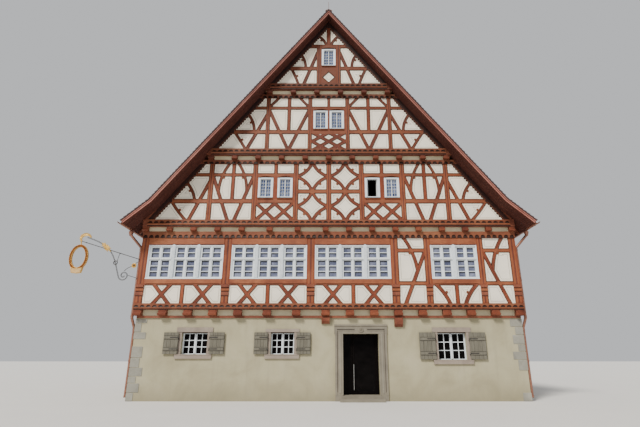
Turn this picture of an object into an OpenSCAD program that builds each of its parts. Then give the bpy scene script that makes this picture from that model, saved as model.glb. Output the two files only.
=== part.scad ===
// Half timbered gabled house: a stone ground floor that carries one timber storey and three
// attic storeys, each jettied over the one below, under one steep roof with kicked eaves.
// Millimetres. X to the right along the front, Y to the back, Z up from the ground.
// The origin is on the ground, in the middle of the plan. The front faces -Y.

/* [Stone ground floor] */
// Width of the stone walls, outside to outside
stone_w = 14250; // [13900:50:14600]
// Depth of the stone walls, front to back
stone_d = 17000; // [15000:250:19000]
// Height of the stone walls
stone_h = 2850; // [2750:10:3050]
// Thickness of the stone walls
stone_t = 600; // [500:10:700]
// Height of the ground floor above the ground
floor_z = 196; // [150:2:240]

/* [Doorway] */
// Middle of the doorway, to the right of the middle of the front
door_x = 1175; // [1000:25:1300]
// Clear width between the stone jambs
door_w = 1310; // [1150:10:1350]
// Clear height above the floor
door_h = 2095; // [1950:5:2150]
// Width of a stone jamb
jamb_w = 285; // [220:5:320]
// Height of the stone lintel
lintel_h = 330; // [250:5:360]
// How far the door surround stands out from the wall
surround_out = 45; // [30:5:80]
// How far the door leaf is set back from the face of the wall
door_back = 330; // [250:10:400]
// Width of the fixed light beside the door leaf
side_light_w = 250; // [150:10:300]
// Thickness of the door leaf and its frame
leaf_t = 60; // [45:5:70]
// Face width of the door's frame members
door_bar = 50; // [40:5:70]
// Gap round the door leaf
door_gap = 6; // [5:1:8]
// Gap at the lock edge of the door leaf, where it swings past the frame
lock_gap = 10; // [9:1:14]

/* [Stone floor windows] */
// Clear width of the left front window
window_a_w = 950; // [850:10:1050]
// Clear width of the front window beside the door
window_b_w = 870; // [800:10:950]
// Clear width of the right front window
window_c_w = 1050; // [900:10:1150]
// Height of the sill of the two windows left of the door
high_sill_z = 1570; // [1450:10:1650]
// Height of the sill of the right window
low_sill_z = 1385; // [1300:5:1450]
// Height of the window heads
window_head_z = 2345; // [2300:5:2400]
// How far shutter hinges lie outside the clear opening
hinge_out = 80; // [70:5:110]
// Thickness of the shutter boards
shutter_t = 32; // [25:1:40]
// Gap between a closed pair of shutters
shutter_gap = 10; // [6:1:16]

/* [Storeys] */
// Height of the timber plate on the stone walls
plate_h = 80; // [60:5:100]
// Height of the beams of the upper floor
beam_h = 210; // [180:5:240]
// Width of the beams of the upper floor
beam_w = 300; // [240:10:320]
// Height of the sill of the upper storey
sill_h = 225; // [200:5:260]
// Height of the upper storey between its sill and its top plate
upper_h = 2485; // [2400:5:2600]
// Height of the top plate of the upper storey
top_plate_h = 260; // [200:5:280]
// Height of the beams of an attic floor
attic_beam_h = 170; // [150:5:200]
// Width of the beams of an attic floor
attic_beam_w = 220; // [180:10:250]
// Height of the sill of an attic storey
attic_sill_h = 275; // [250:5:300]
// Height of an attic storey between its sill and its top plate
attic_h = 2362; // [2300:2:2450]
// Height of the top plate of an attic storey
attic_plate_h = 170; // [140:5:190]

/* [Jetties] */
// How far the timber storeys stand out beside the stone walls
side_jetty = 75; // [50:5:120]
// How far the upper storey stands out over the stone front
first_jetty = 200; // [150:10:260]
// How far each attic stands out over the storey below
attic_jetty = 150; // [100:10:180]

/* [Timbers] */
// Depth of the timbers and panels in front of the inner wall
timber_t = 100; // [80:5:120]
// Thickness of the inner wall
core_t = 120; // [100:5:150]
// How far the plaster lies behind the timber face
panel_back = 12; // [5:1:25]
// Width of the corner posts
corner_post = 280; // [240:10:300]
// Width of the main posts of the upper storey
main_post = 300; // [250:10:320]
// Width of the slim posts of the upper storey
slim_post = 250; // [180:10:270]
// Width of the posts of the attics
attic_post = 205; // [180:5:230]
// Width of the small posts
small_post = 155; // [120:5:170]
// Width of the straight braces
brace_w = 150; // [120:5:170]
// Width of the curved braces
bow_w = 120; // [100:5:140]
// Height of the carved spur at the middle of a curved brace
spur_h = 45; // [30:5:60]
// How far the ends of the floor beams are carved out over their necks
head_out = 40; // [25:5:60]

/* [Timber storey windows] */
// Width of one light in the windows with three lights
light_w = 965; // [930:5:980]
// Width of one light in the window with two lights
narrow_light_w = 895; // [860:5:940]
// Height of the upper windows
upper_window_h = 1315; // [1250:5:1340]
// Width of an attic window
attic_window_w = 530; // [480:5:560]
// Height of an attic window
attic_window_h = 830; // [780:5:850]
// Thickness of the window glass
glass_t = 10; // [6:1:14]

/* [Roof] */
// Pitch of the roof
roof_pitch = 52.6; // [50:0.1:54]
// Pitch of the kicked eaves
kick_pitch = 41.5; // [38:0.5:45]
// How far inside the side walls the kick starts
kick_in = 450; // [350:10:550]
// How far the eaves stand out beside the side walls
eave_out = 510; // [400:10:600]
// Thickness of the roof at right angles to it
roof_t = 120; // [100:5:150]
// Width of the raking timbers under the roof
rake_w = 210; // [170:5:230]
// How far the verge stands out over the top gable
verge_out = 450; // [350:10:550]
// Outer radius of the gutters
gutter_r = 80; // [65:5:90]
// Outer radius of the downpipes
pipe_r = 50; // [40:5:60]

/* [Sign bracket] */
// Reach of the iron bracket beside the corner post
bracket_reach = 2350; // [2000:50:2600]
// Width of the hanging wreath
wreath_w = 720; // [600:20:800]
// Height of the hanging wreath
wreath_h = 1000; // [800:20:1100]

/* [Hidden] */
$fn = 48;

half_w = stone_w / 2;
half_d = stone_d / 2;
frame_w = stone_w + 2 * side_jetty;
half_f = frame_w / 2;

// Levels: each storey's base is the top of its sill
plate_z = stone_h;
beam_z = plate_z + plate_h;
sill_z = beam_z + beam_h;
upper_z = sill_z + sill_h;
attic_step = attic_plate_h + attic_beam_h + attic_sill_h;
upper_top = upper_z + upper_h;
attic_1_z = upper_top + top_plate_h + attic_beam_h + attic_sill_h;
attic_z = [attic_1_z, attic_1_z + attic_h + attic_step, attic_1_z + 2 * (attic_h + attic_step)];
// How far each storey's front stands out over the stone front
out = [first_jetty, first_jetty + attic_jetty, first_jetty + 2 * attic_jetty, first_jetty + 3 * attic_jetty];
verge_y = half_d + out[3] + verge_out;

// Roof line: its straight part, drawn on, would reach the side walls at the first attic's floor
ridge_z = attic_1_z + half_f * tan(roof_pitch);
kick_x = half_f - kick_in;
kick_z = ridge_z - kick_x * tan(roof_pitch);
eave_x = half_f + eave_out;
function roof_z(x) = abs(x) < kick_x ? ridge_z - abs(x) * tan(roof_pitch)
                                     : kick_z - (abs(x) - kick_x) * tan(kick_pitch);
// Where the underside turns, for a layer at a given depth under the roof's face
function turn_x(t) = kick_x
    + (t / cos(kick_pitch) - t / cos(roof_pitch)) / (tan(roof_pitch) - tan(kick_pitch));
// Height of that layer above x
function layer_z(x, t) = abs(x) < turn_x(t)
    ? ridge_z - abs(x) * tan(roof_pitch) - t / cos(roof_pitch)
    : kick_z - (abs(x) - kick_x) * tan(kick_pitch) - t / cos(kick_pitch);
// Half width of the straight part of that layer at height z
function layer_x(z, t) = (ridge_z - t / cos(roof_pitch) - z) / tan(roof_pitch);

// Clearance between neighbours that bear on each other
seat_gap = 0.3;
under_t = roof_t + seat_gap;

// Sum of the first n widths in a list
function upto(widths, n) = n <= 0 ? 0 : widths[n - 1] + upto(widths, n - 1);
// A point part of the way from a to b
function part_way(a, b, t) = a + (b - a) * t;
// Normal to the line from a to b
function normal(a, b) = [a[1] - b[1], b[0] - a[0]] / norm(b - a);

// Beams lie wider over the hall beside the door than elsewhere
beam_count = 16;
beam_bays = [for (i = [0 : beam_count - 2]) i < 4 ? 1 : i < 7 ? 1.17 : 0.97];
function beam_x(i, w) = -half_f + w / 2
    + (frame_w - w) * upto(beam_bays, i) / upto(beam_bays, beam_count - 1);
attic_2_beams = 11;
attic_3_beams = 6;

// How far a brace is cut into the timbers round its panel
seat = 20;
// Heights within the upper storey, above its base
sill_rail_z = 665;
sill_rail_h = 240;
sill_cross_run = 560;
low_rail_h = 160;
upper_window_z = sill_rail_z + sill_rail_h;
bay_rail_z = 1925;
// Heights within an attic, above its base
attic_rail_z = 675;
attic_rail_h = 190;
attic_window_z = 925;
attic_high_z = 1820;
attic_high_h = 150;
star_rail_z = 1090;
star_rail_h = 180;

// Bays of the upper front from left to right: posts, windows and two braced bays
wide_window = 3 * light_w;
narrow_window = 2 * narrow_light_w;
brace_bay = (frame_w - 2 * corner_post - 3 * main_post - 2 * slim_post - 3 * wide_window - narrow_window) / 2;
front_bays = [
    corner_post, wide_window, main_post, wide_window, main_post, wide_window, main_post,
    brace_bay, slim_post, narrow_window, slim_post, brace_bay, corner_post
];
function bay_x(i) = -half_f + upto(front_bays, i);
wide_bays = [1, 3, 5];
narrow_bay = 9;
braced_bays = [7, 11];

// Attic posts and windows, from the middle of the gable
star_post_x = 1310;
window_post_x = 2950;
outer_post_x = 4710;
attic_mullion = 225;
attic_1_window_x = [
    for (s = [-1, 1]) for (t = [-1, 1])
        s * (star_post_x + window_post_x) / 2 + t * (attic_mullion + attic_window_w + 20) / 2
];
attic_2_inner_x = 780;
attic_2_outer_x = 2530;
attic_2_mullion = 125;
attic_2_post = attic_post - 30;
attic_2_window_x = [for (t = [-1, 1]) t * (attic_2_mullion + attic_window_w + 20) / 2];
attic_3_post_x = 420;

// Side windows
side_bays = 5;
side_bay = (stone_d + 2 * first_jetty - 2 * timber_t) / side_bays;
stone_side_windows = 4;
stone_back_windows = 4;
frame_t = 60;
frame_bar = 60;
// Share of an upper window above its transom
transom_share = 0.41;

// Front windows of the stone floor: middle, clear width and sill height
window_a = [-4900, window_a_w, high_sill_z];
window_b = [-1690, window_b_w, high_sill_z];
window_c = [4500, window_c_w, low_sill_z];
front_windows = [window_a, window_b, window_c];

timber_colour = [0.47, 0.22, 0.16];
plaster_colour = [0.90, 0.87, 0.79];
stone_colour = [0.62, 0.59, 0.55];
stucco_colour = [0.82, 0.77, 0.66];
white_colour = [0.93, 0.93, 0.92];
tile_colour = [0.42, 0.24, 0.20];
iron_colour = [0.15, 0.15, 0.16];
glass_colour = [0.45, 0.55, 0.62, 0.5];

// Straight timber of width w from a to b, which runs on into the timbers at its ends
module bar(a, b, w) {
    n = normal(a, b) * w / 2;
    on = (b - a) * w / norm(b - a);
    polygon([a + n - on, b + n + on, b - n + on, a - n - on]);
}

// Curved timber of width w from a to b that swings out by sag on the left hand side, and runs on.
// With a spur it has a carved point at its middle, on the left for 1 and on the right for -1.
module bow(a, b, sag, w, spur = 0, steps = 8) {
    n = normal(a, b);
    mid = [for (i = [0 : steps]) part_way(a, b, i / steps) + n * sag * 4 * (i / steps) * (1 - i / steps)];
    side = [for (i = [0 : steps]) normal(mid[max(i - 1, 0)], mid[min(i + 1, steps)]) * w / 2];
    first = (mid[0] - mid[1]) * w / norm(mid[0] - mid[1]);
    last = (mid[steps] - mid[steps - 1]) * w / norm(mid[steps] - mid[steps - 1]);
    polygon(concat(
        [mid[0] + side[0] + first],
        [for (i = [1 : steps - 1]) mid[i] + side[i]],
        [mid[steps] + side[steps] + last, mid[steps] - side[steps] + last],
        [for (i = [steps - 1 : -1 : 1]) mid[i] - side[i]],
        [mid[0] - side[0] + first]
    ));
    centre = mid[steps / 2];
    along = (b - a) / norm(b - a) * spur_h;
    if (spur != 0)
        polygon([centre - along, centre + n * spur * (w / 2 + spur_h), centre + along]);
}

// Flat band of width w along points
module ribbon(points, w) {
    last = len(points) - 1;
    side = [for (i = [0 : last]) normal(points[max(i - 1, 0)], points[min(i + 1, last)]) * w / 2];
    polygon(concat(
        [for (i = [0 : last]) points[i] + side[i]],
        [for (i = [last : -1 : 0]) points[i] - side[i]]
    ));
}

// Points of a spiral about c from radius r0 to r1, and of a curve from a to b that is drawn towards c
function heading(angle) = [cos(angle), sin(angle)];
function spiral(c, r0, r1, start, turns, n = 28) =
    [for (i = [0 : n]) c + (r0 + (r1 - r0) * i / n) * heading(start + 360 * turns * i / n)];
function curve(a, c, b, n = 12) =
    [for (i = [0 : n]) part_way(part_way(a, c, i / n), part_way(c, b, i / n), i / n)];

// Braces of one panel, cut off inside the timbers round it
module panel(x0, x1, z0, z1) {
    intersection() {
        rail(min(x0, x1) - seat, max(x0, x1) + seat, z0 - seat, z1 - z0 + 2 * seat);
        union() children();
    }
}

// Post of width w about x
module post(x, z0, z1, w) {
    translate([x - w / 2, z0]) square([w, z1 - z0]);
}

// Rail from x0 to x1
module rail(x0, x1, z, h) {
    translate([x0, z]) square([x1 - x0, h]);
}

// Two crossed braces in a panel; run is how far apart their feet are
module cross(x0, x1, z0, z1, w, run = 0) {
    middle = (x0 + x1) / 2;
    half = (run == 0 ? abs(x1 - x0) : run) / 2;
    panel(x0, x1, z0, z1) {
        bar([middle - half, z0], [middle + half, z1], w);
        bar([middle - half, z1], [middle + half, z0], w);
    }
}

// Both halves of a symmetrical drawing
module both_sides() {
    children();
    mirror([1, 0]) children();
}

// Stands a drawing up as a layer of a gable wall, t thick, its face a distance out from the stone front
module gable_layer(face, t, gables = [0, 1]) {
    for (m = gables) mirror([0, m, 0])
        translate([0, t - half_d - face, 0]) rotate([90, 0, 0]) linear_extrude(t) children();
}

// Stands a drawing up as a layer of both side walls, its face at x
module side_layer(x, t) {
    for (m = [0, 1]) mirror([m, 0, 0])
        translate([x - t, 0, 0]) rotate([90, 0, 90]) linear_extrude(t) children();
}

// How far a layer under the roof's face reaches sideways at height z
function layer_reach(z, t) = min(half_f, z > layer_z(turn_x(t), t) ? layer_x(z, t)
    : kick_x + (kick_z - t / cos(kick_pitch) - z) / tan(kick_pitch));

// Outline of a gable storey under the roof, between two heights
module under_roof(z0, z1, t = under_t) {
    x0 = layer_reach(z0, t);
    x1 = max(layer_reach(z1, t), 0);
    turn = turn_x(t);
    turn_z = layer_z(turn, t);
    top_z = min(z1, layer_z(0, t));
    right = z0 < turn_z && z1 > turn_z ? [[x0, z0], [turn, turn_z], [x1, top_z]] : [[x0, z0], [x1, top_z]];
    polygon(concat(right, [for (i = [len(right) - 1 : -1 : 0]) [-right[i][0], right[i][1]]]));
}

// Outline of the panels of an attic, inside its raking timbers
module inside_rakes(z0, z1) {
    t = roof_t + rake_w;
    top_z = min(z1, ridge_z - t / cos(roof_pitch));
    x0 = layer_x(z0, t);
    x1 = layer_x(top_z, t);
    polygon([[-x0, z0], [x0, z0], [x1, top_z], [-x1, top_z]]);
}

// Rectangular window holes: middle, width, sill height and height of each
module holes(windows) {
    for (w = windows) translate([w[0] - w[1] / 2, w[2]]) square([w[1], w[3]]);
}

// Frame of a timber storey window: an outer frame, mullions between its lights, a transom,
// and the meeting stiles of each light's two casements. With no lights its casements stand open.
module light_frame(w, h, lights, transom) {
    light = w / lights;
    difference() {
        square([w, h]);
        if (lights == 0) translate([frame_bar / 3, frame_bar / 3])
            square([w - frame_bar * 2 / 3, h - frame_bar * 2 / 3]);
        if (lights > 0) for (i = [0 : lights - 1]) for (side = [0, 1]) for (row = transom > 0 ? [0, 1] : [0]) {
            x0 = i * light + (i == 0 ? frame_bar : frame_bar * 1.2);
            x1 = (i + 1) * light - (i == lights - 1 ? frame_bar : frame_bar * 1.2);
            middle = (x0 + x1) / 2;
            cut = transom > 0 ? h - transom : h - frame_bar;
            z0 = row == 0 ? frame_bar : cut + frame_bar / 2;
            z1 = row == 0 ? (transom > 0 ? cut - frame_bar / 2 : cut) : h - frame_bar;
            translate([side == 0 ? x0 : middle + frame_bar / 2, z0])
                square([middle - frame_bar / 2 - x0, z1 - z0]);
        }
    }
}

// Windows of the upper front: middle, width, sill height, height and number of lights
upper_front_windows = [
    for (i = concat(wide_bays, [narrow_bay]))
        [(bay_x(i) + bay_x(i + 1)) / 2, front_bays[i], upper_z + upper_window_z, upper_window_h,
         i == narrow_bay ? 2 : 3]
];
upper_side_windows = [
    for (i = [0 : side_bays - 1])
        [(i + 0.5 - side_bays / 2) * side_bay, narrow_window, upper_z + upper_window_z, upper_window_h, 2]
];
open_window = 2;
attic_windows_at = [
    [for (x = attic_1_window_x) [x, attic_window_w, attic_z[0] + attic_window_z, attic_window_h, 1]],
    [for (x = attic_2_window_x) [x, attic_window_w, attic_z[1] + attic_window_z, attic_window_h, 1]],
    [[0, attic_window_w, attic_z[2] + attic_window_z, attic_window_h, 1]]
];

// Upper storey front, drawn above its own base
module upper_frame() {
    for (i = [0 : 2 : len(front_bays) - 1])
        post(bay_x(i) + front_bays[i] / 2, 0, upper_h, front_bays[i]);
    for (i = concat(wide_bays, [narrow_bay])) {
        x0 = bay_x(i);
        x1 = bay_x(i + 1);
        middle = (x0 + x1) / 2;
        rail(x0, x1, sill_rail_z, sill_rail_h);
        rail(x0, x1, upper_window_z + upper_window_h, upper_h - upper_window_z - upper_window_h);
        post(middle, 0, sill_rail_z, small_post);
        if (i == narrow_bay)
            panel(x0, x1, 0, sill_rail_z) for (s = [-1, 1])
                bow([middle + s * 725, sill_rail_z], [middle + s * 290, 0], -s * 40, brace_w, -s);
        else {
            cross(x0, middle - small_post / 2, 0, sill_rail_z, brace_w, sill_cross_run);
            cross(middle + small_post / 2, x1, 0, sill_rail_z, brace_w, sill_cross_run);
        }
    }
    for (i = braced_bays) {
        s = i == braced_bays[0] ? 1 : -1;
        foot = s == 1 ? bay_x(i) : bay_x(i + 1);
        head = s == 1 ? bay_x(i + 1) : bay_x(i);
        rail(bay_x(i), bay_x(i + 1), sill_rail_z, low_rail_h);
        rail(bay_x(i), bay_x(i + 1), bay_rail_z, low_rail_h);
        panel(foot, head, 0, upper_h) {
            bar([head + s * 20, bay_rail_z], [foot + s * 200, 0], brace_w);
            bow([foot + s * 240, upper_h], [foot + s * 690, sill_rail_z * 2], s * 70, bow_w + 20, -s);
        }
    }
}

// Upper storey side, drawn above its own base, one bay for each window
module upper_side_frame() {
    length = side_bays * side_bay;
    for (i = [0 : side_bays]) {
        w = i == 0 || i == side_bays ? corner_post - timber_t : main_post;
        x = -length / 2 + i * side_bay + (i == 0 ? w / 2 : i == side_bays ? -w / 2 : 0);
        post(x, 0, upper_h, w);
    }
    rail(-length / 2, length / 2, sill_rail_z, sill_rail_h);
    rail(-length / 2, length / 2, upper_window_z + upper_window_h, upper_h - upper_window_z - upper_window_h);
    for (w = upper_side_windows) {
        post(w[0], 0, sill_rail_z, small_post);
        for (s = [-1, 1]) {
            post(w[0] + s * (w[1] + small_post) / 2, upper_window_z, upper_window_z + upper_window_h,
                 small_post);
            cross(w[0] + s * small_post / 2, w[0] + s * (side_bay - main_post) / 2, 0, sill_rail_z, brace_w,
                  sill_cross_run);
        }
    }
}

// Panel with a star: four carved braces that curve in towards its middle. Each joins two sides of the
// panel, at a distance from their middles towards the corner between them.
star_sag = 70;
star_shift = 40;
function towards(a, b, distance) = a + (b - a) * distance / norm(b - a);
module star(x0, x1, z0, z1) {
    middle = [(x0 + x1) / 2, (z0 + z1) / 2];
    sides = [[x0, middle[1]], [middle[0], z1], [x1, middle[1]], [middle[0], z0]];
    corners = [[x0, z1], [x1, z1], [x1, z0], [x0, z0]];
    panel(x0, x1, z0, z1) for (i = [0 : 3])
        bow(towards(sides[i], corners[i], star_shift), towards(sides[(i + 1) % 4], corners[i], star_shift),
            -star_sag, brace_w - 10, 1);
}

// Two braces of a panel that come together at its foot, their feet a distance apart
module braces_down(x0, x1, z, apart) {
    middle = (x0 + x1) / 2;
    panel(x0, x1, 0, z + brace_w) {
        bar([x0, z], [middle - apart / 2, 0], brace_w);
        bar([x1, z], [middle + apart / 2, 0], brace_w);
    }
}

// Braces between an outer post and the roof: a straight one with its foot a distance from the post,
// a curved one above the rail and a steeper one below it, each given by its head and its foot
brace_foot = 655;
module corner_braces(x, foot, over, under, sag) {
    panel(x, half_f, 0, attic_h) {
        bar([x, 1480], [x + foot, 0], brace_w);
        bow([x + over[0], 1570], [x + over[1], attic_rail_z + attic_rail_h], -60, bow_w, 1);
        bow([x + under[0], attic_rail_z + 60], [x + under[1], 0], sag, bow_w, -1);
    }
}

// First attic, right of the middle, drawn above its own base
module attic_1_half() {
    half_post = attic_post / 2;
    post(0, 0, attic_h, attic_post);
    for (x = [star_post_x, window_post_x, outer_post_x]) post(x, 0, attic_h, attic_post);
    star(half_post, star_post_x - half_post, 0, star_rail_z);
    star(half_post, star_post_x - half_post, star_rail_z + star_rail_h, attic_h);
    rail(0, star_post_x, star_rail_z, star_rail_h);
    rail(star_post_x, half_f, attic_rail_z, attic_rail_h);
    rail(star_post_x, half_f, attic_high_z, attic_high_h);
    window_mid = (star_post_x + window_post_x) / 2;
    post(window_mid, attic_high_z, attic_h, small_post);
    rail(star_post_x, window_post_x, attic_rail_z, attic_high_z - attic_rail_z);
    for (x = [star_post_x + half_post, window_post_x - half_post])
        cross(x, window_mid, 0, attic_rail_z, brace_w);
    mid = (window_post_x + outer_post_x) / 2;
    x0 = window_post_x + half_post;
    x1 = outer_post_x - half_post;
    braces_down(x0, x1, attic_high_z - 80, 270);
    post(mid, attic_rail_z, attic_h, small_post);
    panel(x0, x1, attic_rail_z, attic_h) for (s = [-1, 1])
        bow([mid + s * 200, attic_h], [mid + s * 560, 1180], s * 90, bow_w, -s);
    corner_braces(x1 + attic_post, brace_foot, [885, 500], [1370, 780], 25);
}

// Lattice of diamonds in a panel, with a crossing at its middle
lattice_pitch = [684, 406];
module lattice(x, z1) {
    rise = x * lattice_pitch[1] / lattice_pitch[0];
    panel(-x, x, 0, z1) for (row = [-1 : 1]) {
        z = z1 / 2 + row * lattice_pitch[1];
        bar([-x, z - rise], [x, z + rise], brace_w);
        bar([-x, z + rise], [x, z - rise], brace_w);
    }
}

// Second attic, right of the middle, drawn above its own base
module attic_2_half() {
    w = attic_2_post;
    for (x = [attic_2_inner_x, attic_2_outer_x]) post(x, 0, attic_h, w);
    post(0, attic_high_z, attic_h, attic_2_mullion);
    rail(0, half_f, attic_rail_z, attic_rail_h);
    rail(0, half_f, attic_high_z, attic_high_h);
    rail(0, attic_2_inner_x, attic_rail_z, attic_high_z - attic_rail_z);
    mid = (attic_2_inner_x + attic_2_outer_x) / 2;
    x0 = attic_2_inner_x + w / 2;
    x1 = attic_2_outer_x - w / 2;
    high = attic_high_z + attic_high_h;
    braces_down(x0, x1, attic_high_z - 120, 60);
    post(mid, attic_rail_z, attic_h, small_post);
    panel(x0, x1, attic_high_z + attic_high_h / 2, attic_h) {
        bar([x0, high + 20], [x0 + 330, attic_h], bow_w);
        bar([x1, high + 20], [x1 - 330, attic_h], bow_w);
    }
    corner_braces(x1 + w, brace_foot + 70, [725, 465], [1245, 785], -10);
}

// Third attic, right of the middle, drawn above its own base
module attic_3_half() {
    high = attic_high_z + attic_rail_h;
    x = attic_3_post_x + attic_post / 2;
    post(attic_3_post_x, 0, high, attic_post);
    rail(attic_3_post_x, half_f, attic_rail_z, attic_rail_h);
    rail(0, half_f, attic_high_z, attic_rail_h);
    rail(0, attic_3_post_x, attic_rail_z, attic_high_z - attic_rail_z);
    difference() {
        rail(0, attic_3_post_x, 0, attic_rail_z);
        polygon([[-1, 90], [0, 90], [240, 335], [0, 580], [-1, 580]]);
    }
    post(0, attic_high_z, ridge_z - attic_z[2], attic_post - 25);
    panel(0, half_f, high, attic_h + attic_rail_h)
        bow([110, high], [480, high + 480], 50, bow_w, -1);
    corner_braces(x, brace_foot - 115, [730, 470], [1060, 770], -10);
}

// Timber face of an attic, in place
module attic_face(k) {
    z1 = k == 2 ? ridge_z : attic_z[k] + attic_h;
    difference() {
        union() {
            difference() {
                under_roof(attic_z[k], z1);
                inside_rakes(attic_z[k], z1);
            }
            intersection() {
                under_roof(attic_z[k], z1);
                translate([0, attic_z[k]]) {
                    both_sides() {
                        if (k == 0) attic_1_half();
                        if (k == 1) attic_2_half();
                        if (k == 2) attic_3_half();
                    }
                    if (k == 1) lattice(attic_2_inner_x - attic_2_post / 2, attic_rail_z);
                }
            }
        }
        holes(attic_windows_at[k]);
    }
}

// Stone ground floor
module ground_floor() {
    color(stone_colour) translate([-half_w + stone_t, -half_d + stone_t, 0])
        cube([stone_w - 2 * stone_t, stone_d - 2 * stone_t, floor_z]);
}

// Part of the front wall from x0 to x1 with window holes
module stone_front(x0, x1, z0, windows) {
    color(stucco_colour) translate([0, -half_d + stone_t, 0]) rotate([90, 0, 0]) linear_extrude(stone_t)
        difference() {
            translate([x0, z0]) square([x1 - x0, stone_h - z0]);
            holes([for (w = windows) [w[0], w[1], w[2], window_head_z - w[2]]]);
        }
}

module front_wall_left() { stone_front(-half_w, door_x - door_w / 2, 0, [window_a, window_b]); }

module front_wall_right() { stone_front(door_x + door_w / 2, half_w, 0, [window_c]); }

module front_wall_over_door() {
    stone_front(door_x - door_w / 2, door_x + door_w / 2, floor_z + door_h, []);
}

stone_side_length = stone_d - 2 * stone_t;
side_windows = [
    for (i = [0 : stone_side_windows - 1])
        [(i + 0.5 - stone_side_windows / 2) * stone_side_length / stone_side_windows, window_a_w, high_sill_z]
];
back_windows = [
    for (i = [0 : stone_back_windows - 1])
        [(i + 0.5 - stone_back_windows / 2) * stone_w / stone_back_windows, window_a_w, high_sill_z]
];

module side_stone_walls() {
    color(stucco_colour) for (m = [0, 1]) mirror([m, 0, 0])
        translate([half_w - stone_t, 0, 0]) rotate([90, 0, 90]) linear_extrude(stone_t)
            difference() {
                translate([-stone_side_length / 2, 0]) square([stone_side_length, stone_h]);
                holes([for (w = side_windows) [w[0], w[1], w[2], window_head_z - w[2]]]);
            }
}

module back_stone_wall() {
    color(stucco_colour) translate([0, half_d, 0]) rotate([90, 0, 0]) linear_extrude(stone_t)
        difference() {
            translate([-half_w, 0]) square([stone_w, stone_h]);
            holes([for (w = back_windows) [w[0], w[1], w[2], window_head_z - w[2]]]);
        }
}

// Door surround, on the face of the wall, with a fillet along the doorway
fillet_w = 60;
fillet_out = 15;
ear = 30;
module door_jambs() {
    color(stone_colour) for (s = [-1, 1]) {
        translate([door_x + s * (door_w + jamb_w) / 2 - jamb_w / 2, -half_d - surround_out, 0])
            cube([jamb_w, surround_out, floor_z + door_h]);
        translate([door_x + s * (door_w / 2 + jamb_w - fillet_w / 2) - fillet_w / 2,
                   -half_d - surround_out - fillet_out, floor_z])
            cube([fillet_w, fillet_out, door_h]);
    }
}

// Lintel with a cornice, ears at its ends and a rounded block in its middle
module door_lintel() {
    w = door_w + 2 * jamb_w + 2 * ear;
    block_r = lintel_h * 0.3;
    color(stone_colour) {
        translate([door_x - w / 2, -half_d, floor_z + door_h])
            rotate([90, 0, 90]) linear_extrude(w)
                polygon([
                    [0, 0], [-surround_out, 0], [-surround_out, lintel_h - 90],
                    [-surround_out - 25, lintel_h - 60], [-surround_out - 25, lintel_h - 25],
                    [-surround_out, lintel_h], [0, lintel_h]
                ]);
        translate([door_x, -half_d, floor_z + door_h + lintel_h * 0.45]) rotate([90, 0, 0])
            cylinder(r = block_r, h = surround_out + 30);
    }
}

step_h = 100;
step_run = 330;
module door_steps() {
    color(stone_colour) {
        translate([door_x - door_w / 2, -half_d - surround_out, 0])
            cube([door_w, stone_t + surround_out, floor_z]);
        translate([door_x - door_w / 2 - 120, -half_d - surround_out - step_run, 0])
            cube([door_w + 240, step_run, step_h]);
    }
}

// Door: a fixed frame with a side light, and one leaf hung at its right
door_front = -half_d + door_back;
leaf_left = door_x - door_w / 2 + 2 * door_bar + side_light_w + lock_gap;
leaf_right = door_x + door_w / 2 - door_bar - door_gap;
leaf_w = leaf_right - leaf_left;
leaf_bottom = floor_z + door_gap + 2;
leaf_h = door_h - door_bar - 2 * door_gap - 2;
hinge_r = 13;
hinge_pin_r = 7;
pin_gap = 0.5;
hinge_len = 100;
door_axis = [leaf_right + door_gap / 2, door_front + leaf_t + hinge_r + 3];
door_hinge_z = [leaf_bottom + 250, leaf_bottom + leaf_h - 350];

module door_frame() {
    color(iron_colour) {
        translate([door_x - door_w / 2, door_front + leaf_t, floor_z]) rotate([90, 0, 0]) linear_extrude(leaf_t)
            difference() {
                square([door_w, door_h]);
                translate([door_bar, 0]) square([side_light_w, door_h - door_bar]);
                translate([2 * door_bar + side_light_w, 0])
                    square([door_w - 3 * door_bar - side_light_w, door_h - door_bar]);
            }
        for (z = door_hinge_z) {
            translate([door_axis[0], door_front + leaf_t, z - hinge_len / 2])
                cube([40, 4, hinge_len / 3 - pin_gap]);
            translate([door_axis[0], door_front + leaf_t, z + hinge_len / 6 + pin_gap])
                cube([40, 4, hinge_len / 3 - pin_gap]);
            translate([door_axis[0], door_axis[1], z - hinge_len / 2]) cylinder(r = hinge_pin_r, h = hinge_len);
            translate([door_axis[0], door_axis[1], z - hinge_len / 2])
                cylinder(r = hinge_r, h = hinge_len / 3 - pin_gap);
            translate([door_axis[0], door_axis[1], z + hinge_len / 6 + pin_gap])
                cylinder(r = hinge_r, h = hinge_len / 3 - pin_gap);
        }
    }
}

module side_light() {
    color(glass_colour) translate([door_x - door_w / 2 + door_bar, door_front + (leaf_t - glass_t) / 2, floor_z])
        cube([side_light_w, glass_t, door_h - door_bar]);
}

module door_leaf() {
    color(iron_colour) {
        translate([leaf_left, door_front + leaf_t, leaf_bottom]) rotate([90, 0, 0]) linear_extrude(leaf_t)
            difference() {
                square([leaf_w, leaf_h]);
                translate([door_bar + 20, door_bar + 50])
                    square([leaf_w - 2 * door_bar - 40, leaf_h - 2 * door_bar - 100]);
            }
        for (z = door_hinge_z) difference() {
            union() {
                translate([leaf_right - 40, door_front + leaf_t, z - hinge_len / 6])
                    cube([40 + door_gap / 2, 4, hinge_len / 3]);
                translate([door_axis[0], door_axis[1], z - hinge_len / 6])
                    cylinder(r = hinge_r, h = hinge_len / 3);
            }
            translate([door_axis[0], door_axis[1], z - hinge_len])
                cylinder(r = hinge_pin_r + pin_gap, h = 2 * hinge_len);
        }
    }
}

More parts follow.
